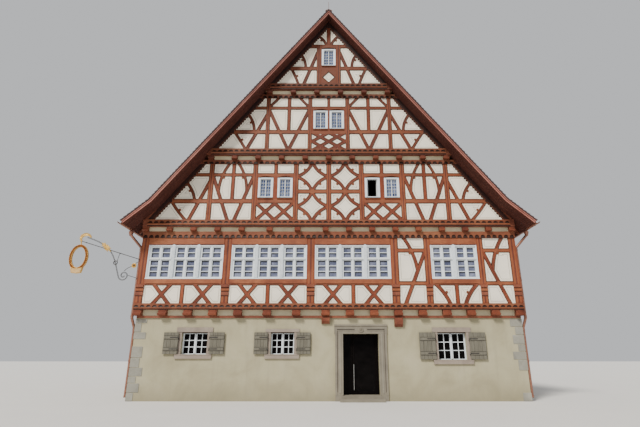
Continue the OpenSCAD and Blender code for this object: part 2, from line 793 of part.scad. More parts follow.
module door_glass() {
    color(glass_colour)
        translate([leaf_left + door_bar + 20, door_front + (leaf_t - glass_t) / 2, leaf_bottom + door_bar + 50])
            cube([leaf_w - 2 * door_bar - 40, glass_t, leaf_h - 2 * door_bar - 100]);
}

module door_handle() {
    x = leaf_left + door_bar / 2 + 10;
    z = leaf_bottom + 150;
    length = 870;
    color("silver") {
        translate([x, door_front - 50, z]) cylinder(r = 14, h = length);
        for (t = [100, length - 100])
            translate([x, door_front - 50, z + t]) rotate([-90, 0, 0]) cylinder(r = 8, h = 50);
    }
}

// Stone dressings of the windows, laid on the faces of the walls
dressing_w = 150;
dressing_h = 170;
low_dressing_h = 115;
sill_out = 60;
dressing_out = 15;
lintel_out = 30;
module dressings(windows) {
    for (w = windows) {
        x0 = w[0] - w[1] / 2;
        h = window_head_z - w[2];
        translate([x0 - 190, -lintel_out, window_head_z])
            cube([w[1] + 380, lintel_out, w == window_b ? low_dressing_h : dressing_h]);
        translate([x0 - 190, -sill_out, w[2] - 150]) cube([w[1] + 380, sill_out, 150]);
        for (x = [x0 - dressing_w, x0 + w[1]])
            translate([x, -dressing_out, w[2]]) cube([dressing_w, dressing_out, h]);
    }
}

module window_stonework() {
    color(stone_colour) {
        translate([0, -half_d, 0]) dressings(front_windows);
        translate([0, half_d, 0]) rotate([0, 0, 180]) dressings(back_windows);
        for (m = [0, 1]) mirror([m, 0, 0]) translate([half_w, 0, 0]) rotate([0, 0, 90]) dressings(side_windows);
    }
}

// Casement frames of the stone floor, set back in the walls
stone_window_back = 150;
module casements(windows) {
    for (w = windows) translate([w[0] - w[1] / 2, stone_window_back + frame_t, w[2]])
        rotate([90, 0, 0]) linear_extrude(frame_t) light_frame(w[1], window_head_z - w[2], 1, 0);
}

module stone_panes(windows) {
    for (w = windows) translate([w[0] - w[1] / 2, stone_window_back + frame_t, w[2]])
        cube([w[1], glass_t, window_head_z - w[2]]);
}

module stone_floor_windows() {
    color(white_colour) {
        translate([0, -half_d, 0]) casements(front_windows);
        translate([0, half_d, 0]) rotate([0, 0, 180]) casements(back_windows);
        for (m = [0, 1]) mirror([m, 0, 0]) translate([half_w, 0, 0]) rotate([0, 0, 90]) casements(side_windows);
    }
}

module stone_floor_glass() {
    translate([0, -half_d, 0]) stone_panes(front_windows);
    translate([0, half_d, 0]) rotate([0, 0, 180]) stone_panes(back_windows);
    for (m = [0, 1]) mirror([m, 0, 0]) translate([half_w, 0, 0]) rotate([0, 0, 90]) stone_panes(side_windows);
}

// Shutters, open flat beside their windows, each on two pintles
shutter_axis_y = -half_d - 60;
shutter_edge = 16;
shutter_end = 10;
knuckle_r = 11;
pintle_r = 6;
knuckle_h = 60;
ledge_h = 110;
ledge_t = 20;
function shutter_w(w) = w[1] / 2 + hinge_out - shutter_edge - shutter_gap / 2;
function shutter_h(w) = window_head_z - w[2] - 2 * shutter_end;
function hinge_x(w, side) = w[0] + side * (w[1] / 2 + hinge_out);
function hinge_zs(w) = [w[2] + 0.2 * (window_head_z - w[2]), w[2] + 0.72 * (window_head_z - w[2])];

module shutter(w, side) {
    color([0.55, 0.53, 0.49]) difference() {
        translate([hinge_x(w, side), shutter_axis_y, 0]) mirror([side == 1 ? 0 : 1, 0, 0]) {
            translate([shutter_edge, -shutter_t / 2, w[2] + shutter_end])
                cube([shutter_w(w), shutter_t, shutter_h(w)]);
            for (z = hinge_zs(w)) {
                cylinder_at = z + pin_gap;
                translate([0, 0, cylinder_at]) cylinder(r = knuckle_r, h = knuckle_h);
                translate([0, -4, cylinder_at]) cube([shutter_edge + 1, 8, knuckle_h]);
                translate([shutter_edge + 20, -shutter_t / 2 - ledge_t, z + knuckle_h / 2 - ledge_h / 2])
                    cube([shutter_w(w) - 40, ledge_t, ledge_h]);
            }
        }
        for (z = hinge_zs(w)) translate([hinge_x(w, side), shutter_axis_y, z - 1])
            cylinder(r = pintle_r + pin_gap, h = knuckle_h + 5);
    }
}

module shutter_a_left() { shutter(window_a, -1); }
module shutter_a_right() { shutter(window_a, 1); }
module shutter_b_left() { shutter(window_b, -1); }
module shutter_b_right() { shutter(window_b, 1); }
module shutter_c_left() { shutter(window_c, -1); }
module shutter_c_right() { shutter(window_c, 1); }

module shutter_pintles() {
    reach = -half_d - dressing_out - shutter_axis_y;
    color(iron_colour) for (w = front_windows) for (side = [-1, 1]) for (z = hinge_zs(w))
        translate([hinge_x(w, side), shutter_axis_y, 0]) {
            translate([0, 0, z - 40]) cylinder(r = knuckle_r, h = 40);
            translate([0, 0, z - 40]) cylinder(r = pintle_r, h = 40 + knuckle_h);
            translate([-7, 0, z - 30]) cube([14, reach, 20]);
        }
}

// Two corbels under beams of the jetty
corbel_beams = [7, 10];
corbel_h = [210, 320];
module corbels() {
    color(timber_colour) for (i = [0, 1])
        translate([beam_x(corbel_beams[i], beam_w) - beam_w / 2, -half_d, stone_h - corbel_h[i]])
            rotate([90, 0, 90]) linear_extrude(beam_w)
                polygon([[0, 0], [-60, 0], [-140, 90], [-first_jetty + 20, corbel_h[i]], [0, corbel_h[i]]]);
}

// Plates on top of the stone walls
module wall_plates() {
    plate_w = stone_t - 100;
    color(timber_colour) {
        for (m = [0, 1]) mirror([0, m, 0])
            translate([-half_w + 20, -half_d - 50, plate_z]) cube([stone_w - 40, plate_w + 50, plate_h]);
        for (m = [0, 1]) mirror([m, 0, 0])
            translate([half_w - plate_w, -half_d + plate_w + 5, plate_z])
                cube([plate_w - 20, stone_d - 2 * plate_w - 10, plate_h]);
    }
}

// Floor beam from front to back, each end carved with a rounded lip under a neck
module floor_beam(x, z, w, h, reach) {
    end = [
        [reach, h], [reach, h * 0.52], [reach + head_out * 0.4, h * 0.46], [reach + head_out, h * 0.4],
        [reach + head_out, h * 0.16], [reach + head_out * 0.8, h * 0.05], [reach + head_out * 0.5, 0]
    ];
    translate([x - w / 2, 0, z]) rotate([90, 0, 90]) linear_extrude(w)
        polygon(concat(end, [for (i = [len(end) - 1 : -1 : 0]) [-end[i][0], end[i][1]]]));
}

beam_inset = 110;
function even_beam(i, n, w, z) = (i - (n - 1) / 2) * (2 * layer_x(z, roof_t) - w - 2 * beam_inset) / (n - 1);

function beams_z(k) = attic_z[k] - attic_sill_h - attic_beam_h;

module floor_beams() {
    color(timber_colour) {
        for (i = [0 : beam_count - 1])
            floor_beam(beam_x(i, beam_w), beam_z, beam_w, beam_h, half_d + out[0]);
        for (i = [0 : beam_count - 1])
            floor_beam(beam_x(i, attic_beam_w), beams_z(0), attic_beam_w, attic_beam_h, half_d + out[1]);
        for (i = [0 : attic_2_beams - 1])
            floor_beam(even_beam(i, attic_2_beams, attic_beam_w, attic_z[1] - attic_sill_h), beams_z(1),
                       attic_beam_w, attic_beam_h, half_d + out[2]);
        for (i = [0 : attic_3_beams - 1])
            floor_beam(even_beam(i, attic_3_beams, attic_beam_w, attic_z[2] - attic_sill_h), beams_z(2),
                       attic_beam_w, attic_beam_h, half_d + out[3]);
    }
}

// Plaster between the beam ends, set back under each jetty
infill_t = 60;
infill_out = 30;
module between_beams(xs, w, z, h, face) {
    for (m = [0, 1]) mirror([0, m, 0]) for (i = [0 : len(xs) - 2])
        translate([xs[i] + w / 2 + seat_gap, -half_d - face - infill_out, z])
            cube([xs[i + 1] - xs[i] - w - 2 * seat_gap, infill_t, h]);
}

module beam_infill() {
    color(plaster_colour) {
        between_beams([for (i = [0 : beam_count - 1]) beam_x(i, beam_w)], beam_w, beam_z, beam_h, 0);
        between_beams([for (i = [0 : beam_count - 1]) beam_x(i, attic_beam_w)], attic_beam_w, beams_z(0),
                      attic_beam_h, out[0]);
        between_beams([for (i = [0 : attic_2_beams - 1])
                       even_beam(i, attic_2_beams, attic_beam_w, attic_z[1] - attic_sill_h)],
                      attic_beam_w, beams_z(1), attic_beam_h, out[1]);
        between_beams([for (i = [0 : attic_3_beams - 1])
                       even_beam(i, attic_3_beams, attic_beam_w, attic_z[2] - attic_sill_h)],
                      attic_beam_w, beams_z(2), attic_beam_h, out[2]);
    }
}

// Floors, inside the sills
module timber_floors() {
    x = half_f - timber_t;
    y = half_d + out[0] - timber_t;
    color([0.55, 0.40, 0.27]) {
        translate([-x, -y, sill_z]) cube([2 * x, 2 * y, sill_h]);
        for (k = [0 : 2]) {
            y = half_d + out[k + 1] - timber_t;
            translate([0, y, 0]) rotate([90, 0, 0]) linear_extrude(2 * y) intersection() {
                under_roof(attic_z[k] - attic_sill_h, attic_z[k]);
                rail(-x, x, attic_z[k] - attic_sill_h, attic_sill_h);
            }
        }
    }
}

// Inner walls of the timber storeys
module upper_gable_walls() {
    color(plaster_colour) gable_layer(out[0] - timber_t, core_t) difference() {
        rail(timber_t - half_f, half_f - timber_t, upper_z, upper_h + top_plate_h);
        holes(upper_front_windows);
    }
}

module upper_side_walls() {
    length = 2 * (half_d + out[0] - timber_t - core_t);
    color(plaster_colour) side_layer(half_f - timber_t, core_t) difference() {
        rail(-length / 2, length / 2, upper_z, upper_h + top_plate_h);
        holes(upper_side_windows);
    }
}

module attic_walls() {
    color(plaster_colour) for (k = [0 : 2]) gable_layer(out[k + 1] - timber_t, core_t) difference() {
        under_roof(attic_z[k], k == 2 ? ridge_z : attic_z[k] + attic_h + attic_plate_h);
        holes(attic_windows_at[k]);
    }
}

// Timber frames. Sills and plates stand proud of them, with a band along the top of each sill.
sill_proud = 20;
band_proud = 15;
band_h = 60;
rail_proud = 20;

// Face of a sill rail, its foot cut back between two rounded stops
stop_w = 45;
stop_r = 65;
module stopped_rail(x0, x1, z, h) {
    arc = [for (i = [0 : 4]) stop_r * [1 - cos(i * 22.5), sin(i * 22.5)]];
    foot = [for (p = arc) [stop_w + p[0], p[1]]];
    polygon(concat(
        [[x0, z + h], [x0, z]], [for (p = foot) [x0 + p[0], z + p[1]]],
        [for (i = [len(foot) - 1 : -1 : 0]) [x1 - foot[i][0], z + foot[i][1]]], [[x1, z], [x1, z + h]]
    ));
}

module upper_mouldings() {
    for (i = concat(wide_bays, [narrow_bay])) {
        head = upper_window_z + upper_window_h + stop_r / 3;
        stopped_rail(bay_x(i), bay_x(i + 1), sill_rail_z, sill_rail_h);
        rail(bay_x(i), bay_x(i + 1), head, upper_h - head);
    }
}

// Carved console on a post of the upper storey, its head between the ends of the sill rails
console_h = 415;
console_head = 25;
module console(x, w) {
    translate([x - w / 2, -half_d - out[0], upper_z + sill_rail_z + console_head - console_h])
        rotate([90, 0, 90]) linear_extrude(w)
            polygon([
                [sill_proud, 0], [-12, 0], [-30, 25], [-30, 130], [-15, 150], [-15, 168], [-42, 182],
                [-42, 262], [-18, 276], [-18, 296], [-50, 312], [-56, console_h], [sill_proud, console_h]
            ]);
}

module upper_timbers() {
    color(timber_colour) {
        gable_layer(out[0], timber_t) translate([0, upper_z]) upper_frame();
        gable_layer(out[0] + rail_proud, timber_t) translate([0, upper_z]) upper_mouldings();
        for (m = [0, 1]) mirror([0, m, 0]) for (i = [0 : 2 : len(front_bays) - 1])
            console(bay_x(i) + front_bays[i] / 2, front_bays[i]);
        gable_layer(out[0] + sill_proud, timber_t + sill_proud) rail(-half_f, half_f, sill_z, sill_h);
        gable_layer(out[0] + sill_proud + band_proud, timber_t) rail(-half_f, half_f, upper_z - band_h, band_h);
        gable_layer(out[0] + sill_proud, timber_t + sill_proud) rail(-half_f, half_f, upper_top, top_plate_h);
    }
}

module upper_side_timbers() {
    length = 2 * (half_d + out[0] - timber_t);
    color(timber_colour) {
        side_layer(half_f, timber_t) translate([0, upper_z]) upper_side_frame();
        side_layer(half_f, timber_t) rail(-length / 2, length / 2, sill_z, sill_h);
        side_layer(half_f, timber_t) rail(-length / 2, length / 2, upper_top, top_plate_h);
        side_layer(half_f, timber_t)
            rail(-length / 2, length / 2, attic_z[0] - attic_sill_h,
                 layer_z(half_f, under_t) - attic_z[0] + attic_sill_h);
    }
}

module attic_timbers() {
    color(timber_colour) for (k = [0 : 2]) {
        gable_layer(out[k + 1], timber_t) attic_face(k);
        gable_layer(out[k + 1] + sill_proud, timber_t + sill_proud)
            under_roof(attic_z[k] - attic_sill_h, attic_z[k]);
        gable_layer(out[k + 1] + sill_proud + band_proud, timber_t) {
            under_roof(attic_z[k] - band_h, attic_z[k]);
            under_roof(attic_z[k] - attic_sill_h, attic_z[k] - attic_sill_h + band_h);
        }
        if (k < 2) gable_layer(out[k + 1] + sill_proud, timber_t + sill_proud)
            under_roof(attic_z[k] + attic_h, attic_z[k] + attic_h + attic_plate_h);
    }
}

// Plaster panels between the timbers
module upper_panels() {
    length = 2 * (half_d + out[0] - timber_t);
    color(plaster_colour) {
        gable_layer(out[0] - panel_back, timber_t - panel_back) difference() {
            rail(-half_f, half_f, upper_z, upper_h);
            translate([0, upper_z]) upper_frame();
            holes(upper_front_windows);
        }
        side_layer(half_f - panel_back, timber_t - panel_back) difference() {
            rail(-length / 2, length / 2, upper_z, upper_h);
            translate([0, upper_z]) upper_side_frame();
            holes(upper_side_windows);
        }
    }
}

module attic_panels() {
    color(plaster_colour) for (k = [0 : 2]) {
        z1 = k == 2 ? ridge_z : attic_z[k] + attic_h;
        gable_layer(out[k + 1] - panel_back, timber_t - panel_back) difference() {
            inside_rakes(attic_z[k], z1);
            attic_face(k);
            holes(attic_windows_at[k]);
        }
    }
}

// Windows of the timber storeys. In the photograph one casement of the first attic stands open.
frame_back = 15;
module frames_at(windows, transom) {
    for (w = windows) translate([w[0] - w[1] / 2, w[2]]) light_frame(w[1], w[3], w[4], transom);
}

module upper_windows() {
    color(white_colour) {
        gable_layer(out[0] - frame_back, frame_t) frames_at(upper_front_windows, upper_window_h * transom_share);
        side_layer(half_f - frame_back, frame_t) frames_at(upper_side_windows, upper_window_h * transom_share);
    }
}

module attic_windows() {
    color(white_colour) for (k = [0 : 2]) for (gable = [0, 1])
        gable_layer(out[k + 1] - frame_back, frame_t, [gable])
            frames_at([
                for (i = [0 : len(attic_windows_at[k]) - 1]) let (w = attic_windows_at[k][i])
                    is_open(k, i, gable) ? [w[0], w[1], w[2], w[3], 0] : w
            ], 0);
}

function is_open(k, i, gable) = k == 0 && i == open_window && gable == 0;

module window_glass() {
    color(glass_colour) {
        stone_floor_glass();
        gable_layer(out[0] - frame_back - frame_t, glass_t) holes(upper_front_windows);
        side_layer(half_f - frame_back - frame_t, glass_t) holes(upper_side_windows);
        for (k = [0 : 2]) for (gable = [0, 1])
            gable_layer(out[k + 1] - frame_back - frame_t, glass_t, [gable])
                holes([
                    for (i = [0 : len(attic_windows_at[k]) - 1])
                        if (!is_open(k, i, gable)) attic_windows_at[k][i]
                ]);
    }
}

// One slope of the roof, seen from the front
module roof_section() {
    turn = turn_x(roof_t);
    polygon([
        [0, ridge_z], [kick_x, kick_z], [eave_x, roof_z(eave_x)],
        [eave_x - roof_t * sin(kick_pitch), roof_z(eave_x) - roof_t * cos(kick_pitch)],
        [turn, layer_z(turn, roof_t)], [0, ridge_z - roof_t / cos(roof_pitch)]
    ]);
}

module roof_slope() {
    translate([0, verge_y - verge_board_t, 0]) rotate([90, 0, 0])
        linear_extrude(2 * (verge_y - verge_board_t)) roof_section();
}

module roof_right() { color(tile_colour) roof_slope(); }

module roof_left() { color(tile_colour) mirror([1, 0, 0]) roof_slope(); }

// Boards on the ends of the roof
verge_board_t = 40;
verge_board_w = roof_t;
module verge_strip(t0, t1) {
    turn0 = turn_x(t0);
    turn1 = turn_x(t1);
    x0 = eave_x - t0 * sin(kick_pitch);
    x1 = eave_x - t1 * sin(kick_pitch);
    polygon([
        [0, layer_z(0, t0)], [turn0, layer_z(turn0, t0)], [x0, layer_z(x0, t0)],
        [x1, layer_z(x1, t1)], [turn1, layer_z(turn1, t1)], [0, layer_z(0, t1)]
    ]);
}

module verge_boards() {
    color([0.55, 0.33, 0.28]) for (m = [0, 1]) mirror([0, m, 0])
        translate([0, -verge_y + verge_board_t, 0]) rotate([90, 0, 0]) linear_extrude(verge_board_t)
            both_sides() verge_strip(0.01, verge_board_w);
}

// Ridge tiles, with a rod on the front end
ridge_r = 120;
ridge_seat = seat_gap / cos(roof_pitch);
rod_r = 8;
rod_h = 450;
rod_in = 40;
module ridge_cap() {
    color(tile_colour) translate([0, verge_y, ridge_z]) rotate([90, 0, 0]) linear_extrude(2 * verge_y)
        difference() {
            polygon([[-ridge_r, -ridge_r * tan(roof_pitch)], [0, 60], [ridge_r, -ridge_r * tan(roof_pitch)]]);
            translate([0, ridge_seat])
                polygon([
                    [-2 * ridge_r, -2 * ridge_r * tan(roof_pitch)], [0, 0],
                    [2 * ridge_r, -2 * ridge_r * tan(roof_pitch)]
                ]);
        }
    color(iron_colour) translate([0, rod_in - verge_y, ridge_z + 40]) cylinder(r = rod_r, h = rod_h);
}

// Gutters and downpipes. A gutter's inner lip bears on the edge of the eaves.
gutter_drop = 40;
gutter_x = eave_x + gutter_r - gutter_drop * tan(kick_pitch);
gutter_z = roof_z(eave_x) - gutter_drop;
gutter_wall = 5;
module gutters() {
    color(iron_colour) for (m = [0, 1]) mirror([m, 0, 0])
        translate([gutter_x, verge_y, gutter_z]) rotate([90, 0, 0]) linear_extrude(2 * verge_y)
            difference() {
                circle(r = gutter_r);
                circle(r = gutter_r - gutter_wall);
                translate([-gutter_r * 2, 0]) square([gutter_r * 4, gutter_r * 2]);
            }
}

// Each downpipe stands clear beside the corner post, and bends in to the stone wall under the jetty
pipe_gap = 20;
pipe_x = half_f + pipe_r + pipe_gap;
pipe_y = -half_d - first_jetty + 140;
stone_pipe_x = half_w + pipe_r + pipe_gap;
stone_pipe_y = -half_d + 80;
swan_h = 350;
pipe_foot = 120;
pipe_clip = 30;
module straight_pipe(a, b) {
    d = b - a;
    translate(a) rotate([0, acos(d[2] / norm(d)), atan2(d[1], d[0])]) cylinder(r = pipe_r, h = norm(d));
}

module downpipes() {
    foot = [stone_pipe_x, stone_pipe_y, pipe_foot];
    low = [stone_pipe_x, stone_pipe_y, stone_h - swan_h];
    high = [pipe_x, pipe_y, stone_h];
    top = [pipe_x, pipe_y, upper_top - 350];
    neck = [gutter_x, pipe_y, gutter_z - gutter_r - 150];
    color(iron_colour) for (m = [0, 1]) mirror([m, 0, 0]) {
        difference() {
            union() {
                straight_pipe(foot, low);
                straight_pipe(low, high);
                straight_pipe(high, top);
                straight_pipe(top, neck);
                straight_pipe(neck, [neck[0], neck[1], gutter_z - gutter_r / 2]);
                for (joint = [low, high, top, neck]) translate(joint) sphere(r = pipe_r + 4);
            }
            translate([gutter_x, pipe_y - 2 * pipe_r, gutter_z]) rotate([-90, 0, 0])
                cylinder(r = gutter_r, h = 4 * pipe_r);
        }
        for (z = [stone_h * 0.25, stone_h * 0.8])
            translate([half_w, stone_pipe_y - pipe_clip / 2, z])
                cube([stone_pipe_x - half_w, pipe_clip, pipe_clip]);
        for (z = [upper_z + upper_h * 0.15, upper_z + upper_h * 0.7])
            translate([half_f, pipe_y - pipe_clip / 2, z])
                cube([pipe_x - half_f, pipe_clip, pipe_clip]);
    }
}

// Iron bracket at the left corner with a hanging wreath
bracket_y = -half_d - first_jetty + timber_t / 2;
bracket_t = 24;
stay_w = 32;
stay_foot = 835;
eye_z = upper_top - 120;
hook_x = -half_f - bracket_reach;
hook_r = 9;
// Places of the scrolls: share of the reach, and depth under the eye
scroll_c = [-half_f - bracket_reach * 0.243, eye_z - 1320];
scroll_r = 190;
rosette_c = [-half_f - bracket_reach * 0.094, eye_z - 940];
rosette_r = 95;
ring_c = [-half_f - bracket_reach * 0.402, eye_z - 830];
ring_r = 85;
crest_c = [hook_x + 120, eye_z + 105];
crest_r = 120;

module bracket_scrolls() {
    start = scroll_c + scroll_r * heading(204);
    rod_w = stay_w * 0.8;
    ribbon(curve([hook_x + 165, eye_z + 170], [-half_f - bracket_reach * 0.53, eye_z - 230], start), rod_w);
    ribbon(spiral(scroll_c, scroll_r, 35, 204, 1.4), rod_w);
    ribbon([scroll_c + [scroll_r - 15, 0], [-half_f - 10, scroll_c[1] - 120]], rod_w);
    ribbon([scroll_c + [0, scroll_r - 25], rosette_c], rod_w);
    ribbon([rosette_c, [-half_f - 10, rosette_c[1] + 160]], rod_w);
    ribbon(spiral(crest_c, crest_r, 40, -80, 0.9), stay_w * 1.5);
    translate(rosette_c) circle(r = rosette_r);
    translate(ring_c) difference() {
        circle(r = ring_r);
        circle(r = ring_r - rod_w);
    }
}

module sign_bracket() {
    color(iron_colour) {
        translate([0, bracket_y + bracket_t / 2, 0]) rotate([90, 0, 0]) linear_extrude(bracket_t) {
            post(-half_f - 15, upper_z + 150, upper_top - 150, 30);
            difference() {
                union() {
                    bar([-half_f, upper_top - stay_foot], [hook_x + stay_w, eye_z], stay_w);
                    bracket_scrolls();
                }
                rail(-half_f, 0, upper_z, upper_h);
            }
        }
        translate([hook_x - 60, bracket_y, eye_z]) rotate([0, 90, 0]) cylinder(r = hook_r, h = 120);
        translate([hook_x - 68, bracket_y, eye_z]) rotate([0, 90, 0]) cylinder(r = 2 * hook_r, h = 10);
    }
}

// Oval wreath with a plain banner across its foot
wreath_bar = 95;
wreath_t = 60;
wreath_drop = 120;
banner_w = 450;
banner_h = 200;
banner_t = 40;
module ellipse(w, h, n = 36) {
    polygon([for (i = [0 : n - 1]) [cos(i * 360 / n) * w / 2, sin(i * 360 / n) * h / 2]]);
}

module wreath_layer(t) {
    translate([hook_x - 35, bracket_y + t / 2, eye_z - wreath_h / 2 - wreath_drop])
        rotate([90, 0, 0]) linear_extrude(t) children();
}

module sign_wreath() {
    color([0.75, 0.55, 0.25]) {
        wreath_layer(wreath_t) difference() {
            ellipse(wreath_w, wreath_h);
            ellipse(wreath_w - 2 * wreath_bar, wreath_h - 2 * wreath_bar);
        }
        wreath_layer(wreath_t + banner_t) translate([0, -wreath_h / 2]) polygon([
            [-banner_w / 2, banner_h / 2], [0, banner_h / 2 - 45], [banner_w / 2, banner_h / 2],
            [banner_w / 2 - 45, -banner_h / 2], [0, -banner_h / 2 - 25], [45 - banner_w / 2, -banner_h / 2]
        ]);
        difference() {
            translate([hook_x - 47, bracket_y - 20, eye_z - wreath_drop - 10])
                cube([24, 40, wreath_drop + 35]);
            translate([hook_x - 60, bracket_y, eye_z]) rotate([0, 90, 0])
                cylinder(r = hook_r + pin_gap, h = 60);
        }
    }
}

ground_floor();
front_wall_left();
front_wall_right();
front_wall_over_door();
side_stone_walls();
back_stone_wall();
door_jambs();
door_lintel();
door_steps();
door_frame();
side_light();
door_leaf();
door_glass();
door_handle();
window_stonework();
stone_floor_windows();
shutter_a_left();
shutter_a_right();
shutter_b_left();
shutter_b_right();
shutter_c_left();
shutter_c_right();
shutter_pintles();
corbels();
wall_plates();
floor_beams();
beam_infill();
timber_floors();
upper_gable_walls();
upper_side_walls();
attic_walls();
upper_timbers();
upper_side_timbers();
attic_timbers();
upper_panels();
attic_panels();
upper_windows();
attic_windows();
window_glass();
roof_left();
roof_right();
ridge_cap();
verge_boards();
gutters();
downpipes();
sign_bracket();
sign_wreath();
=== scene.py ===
"""Looks of a half timbered gabled house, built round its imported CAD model.

Metres, in the frame of the CAD: X to the right along the front, Y to the back, Z up.
The front faces -Y. Pieces on a wall are drawn in that wall's own frame: u along the wall,
w out from the masonry face, and z up.
"""

import math
import random

import bmesh
import bpy
from mathutils import Matrix, Vector


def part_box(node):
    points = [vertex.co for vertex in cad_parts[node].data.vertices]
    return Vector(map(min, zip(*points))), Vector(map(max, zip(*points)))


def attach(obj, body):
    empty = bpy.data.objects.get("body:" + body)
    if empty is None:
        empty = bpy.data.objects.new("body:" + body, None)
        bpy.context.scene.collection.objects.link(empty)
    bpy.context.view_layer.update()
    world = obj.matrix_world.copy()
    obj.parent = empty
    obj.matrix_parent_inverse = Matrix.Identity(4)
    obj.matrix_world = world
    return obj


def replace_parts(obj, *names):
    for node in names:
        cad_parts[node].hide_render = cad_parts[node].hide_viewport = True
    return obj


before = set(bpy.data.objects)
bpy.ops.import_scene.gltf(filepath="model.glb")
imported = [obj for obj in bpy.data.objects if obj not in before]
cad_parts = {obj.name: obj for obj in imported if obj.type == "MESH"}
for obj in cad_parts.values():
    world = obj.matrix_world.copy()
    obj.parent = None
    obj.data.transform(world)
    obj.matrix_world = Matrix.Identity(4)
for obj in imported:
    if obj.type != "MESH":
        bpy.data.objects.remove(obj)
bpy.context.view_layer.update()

rng = random.Random(7)

# The photograph's frame, in pixels, and the camera that took it
PHOTO_W = 640
FOCAL_PX = 434.2
CENTRE_PX = 328.7
PITCH_UP = math.radians(18.04)
CAMERA_AT = (0, -25.0, 1.55)
SENSOR_MM = 36

# Places taken from the frame
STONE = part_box("back_stone_wall")
HALF_W = STONE[1].x
HALF_D = STONE[1].y
STONE_H = STONE[1].z
HALF_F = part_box("upper_side_timbers")[1].x
VERGE_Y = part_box("verge_boards")[1].y
RIDGE_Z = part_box("roof_right")[1].z
EAVE_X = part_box("roof_right")[1].x

# Levels and faces that the frame's drawing is set out from
SILL_Z = 3.140
UPPER_Z = 3.365
UPPER_H = 2.485
UPPER_TOP = UPPER_Z + UPPER_H
TOP_PLATE_H = 0.260
ATTIC_Z = (6.555, 9.532, 12.509)
ATTIC_H = 2.362
ATTIC_SILL_H = 0.275
ATTIC_PLATE_H = 0.170
FACES = (0.200, 0.350, 0.500, 0.650)
SIDE_FACE = HALF_F - HALF_W
PROUD = 0.020
HEAD_OUT = 0.040
TIMBER_T = 0.100
SILL_RAIL_Z = 0.665
SILL_RAIL_H = 0.240
WINDOW_Z = SILL_RAIL_Z + SILL_RAIL_H
WINDOW_H = 1.315
FRAME_BACK = 0.015
FRAME_BAR = 0.060
PANEL_BACK = 0.012
TRANSOM_SHARE = 0.41
ATTIC_WINDOW_Z = 0.925
ATTIC_WINDOW_W = 0.530
ATTIC_WINDOW_H = 0.830
NICHE_PITCH = 0.225

# Timbers: widths, rails above their storey's base, and posts from the middle of the gable
MAIN_POST, SLIM_POST, CORNER_POST, SMALL_POST = 0.300, 0.250, 0.280, 0.155
ATTIC_POST, ATTIC_2_POST = 0.205, 0.175
BRACE_W, BOW_W, SPUR_H, CROSS_RUN = 0.150, 0.120, 0.045, 0.560
BAY_RAIL_Z, LOW_RAIL_H = 1.925, 0.160
ATTIC_RAIL_Z, ATTIC_RAIL_H = 0.675, 0.190
HIGH_RAIL_Z, HIGH_RAIL_H = 1.820, 0.150
STAR_RAIL_Z, STAR_RAIL_H = 1.090, 0.180
STAR_POST, WINDOW_POST, OUTER_POST = 1.310, 2.950, 4.710
ATTIC_1_MULLION = 0.225
ATTIC_2_INNER, ATTIC_2_OUTER, ATTIC_2_WINDOW = 0.780, 2.530, 0.0725
ATTIC_3_POST = 0.420

# Foot of the consoles under the sill rail; rafters at each eave, and the last one's distance from the middle
CONSOLE_DROP = 0.390
RAFTERS, RAFTER_END = 19, 8.220

# Windows: width over which a long one has three lights, and the left edge of the attic one that stands open
WIDE_WINDOW = 2.300
OPEN_WINDOW_U = 1.450

# Small mouldings as (w, z) points, measured from the face and the level that each stands on
TRANSOM_LEDGE = (
    (-0.02, -0.040), (0.016, -0.040), (0.034, -0.026), (0.030, -0.008), (-0.004, 0.026), (-0.02, 0.026)
)
HEAD_DRIP = ((-0.02, -0.022), (0.012, -0.022), (0.026, -0.002), (-0.02, 0.014))
WINDOW_LEDGE = ((-0.03, -0.004), (0.046, -0.004), (0.052, 0.012), (0.044, 0.030), (-0.03, 0.040))
ATTIC_DRIP = ((-0.02, 0), (0.018, 0), (0.026, 0.014), (-0.02, 0.030))
ATTIC_SILL = ((-0.03, -0.064), (0.040, -0.064), (0.046, -0.046), (-0.03, -0.034))

# Tiles; the lower edge of one is given as (share of its width, how far it is cut back)
TILE_W, TILE_LENGTH, TILE_T, TILE_COURSE, RIDGE_TILE = 0.180, 0.235, 0.014, 0.160, 0.400
TILE_EDGE = ((0.0, 0.030), (0.12, 0.010), (0.34, 0.0), (0.66, 0.0), (0.88, 0.010), (1.0, 0.030))

# Plane of the sign bracket, and the hook that the wreath hangs on
SIGN_Y, HOOK_X, EYE_Z = -8.650, -9.550, 5.730

# Shutters, pipes and the stone surround of the door
SHUTTERS = ["shutter_%s_%s" % (window, side) for window in "abc" for side in ("left", "right")]
SHUTTER_FACE, SHUTTER_END, LEDGE_T = 0.076, 0.010, 0.020
SURROUND_OUT = 0.045
GUTTER_R = 0.080
PIPE_X, PIPE_Y = HALF_F + 0.070, -HALF_D - 0.060
STONE_PIPE_X, STONE_PIPE_Y = HALF_W + 0.070, -HALF_D + 0.080

ROOF_PITCH = math.radians(52.6)
KICK_PITCH = math.radians(41.5)
KICK_X = HALF_F - 0.450
ROOF_T = 0.120
RAKE_DEPTH = ROOF_T + 0.210


def roof_z(x):
    """Height of the roof's face above x"""
    kick_z = RIDGE_Z - KICK_X * math.tan(ROOF_PITCH)
    if abs(x) < KICK_X:
        return RIDGE_Z - abs(x) * math.tan(ROOF_PITCH)
    return kick_z - (abs(x) - KICK_X) * math.tan(KICK_PITCH)


def reach(z):
    """Half width of the front under the roof's slabs at height z"""
    straight = (RIDGE_Z - ROOF_T / math.cos(ROOF_PITCH) - z) / math.tan(ROOF_PITCH)
    return min(HALF_F, straight)


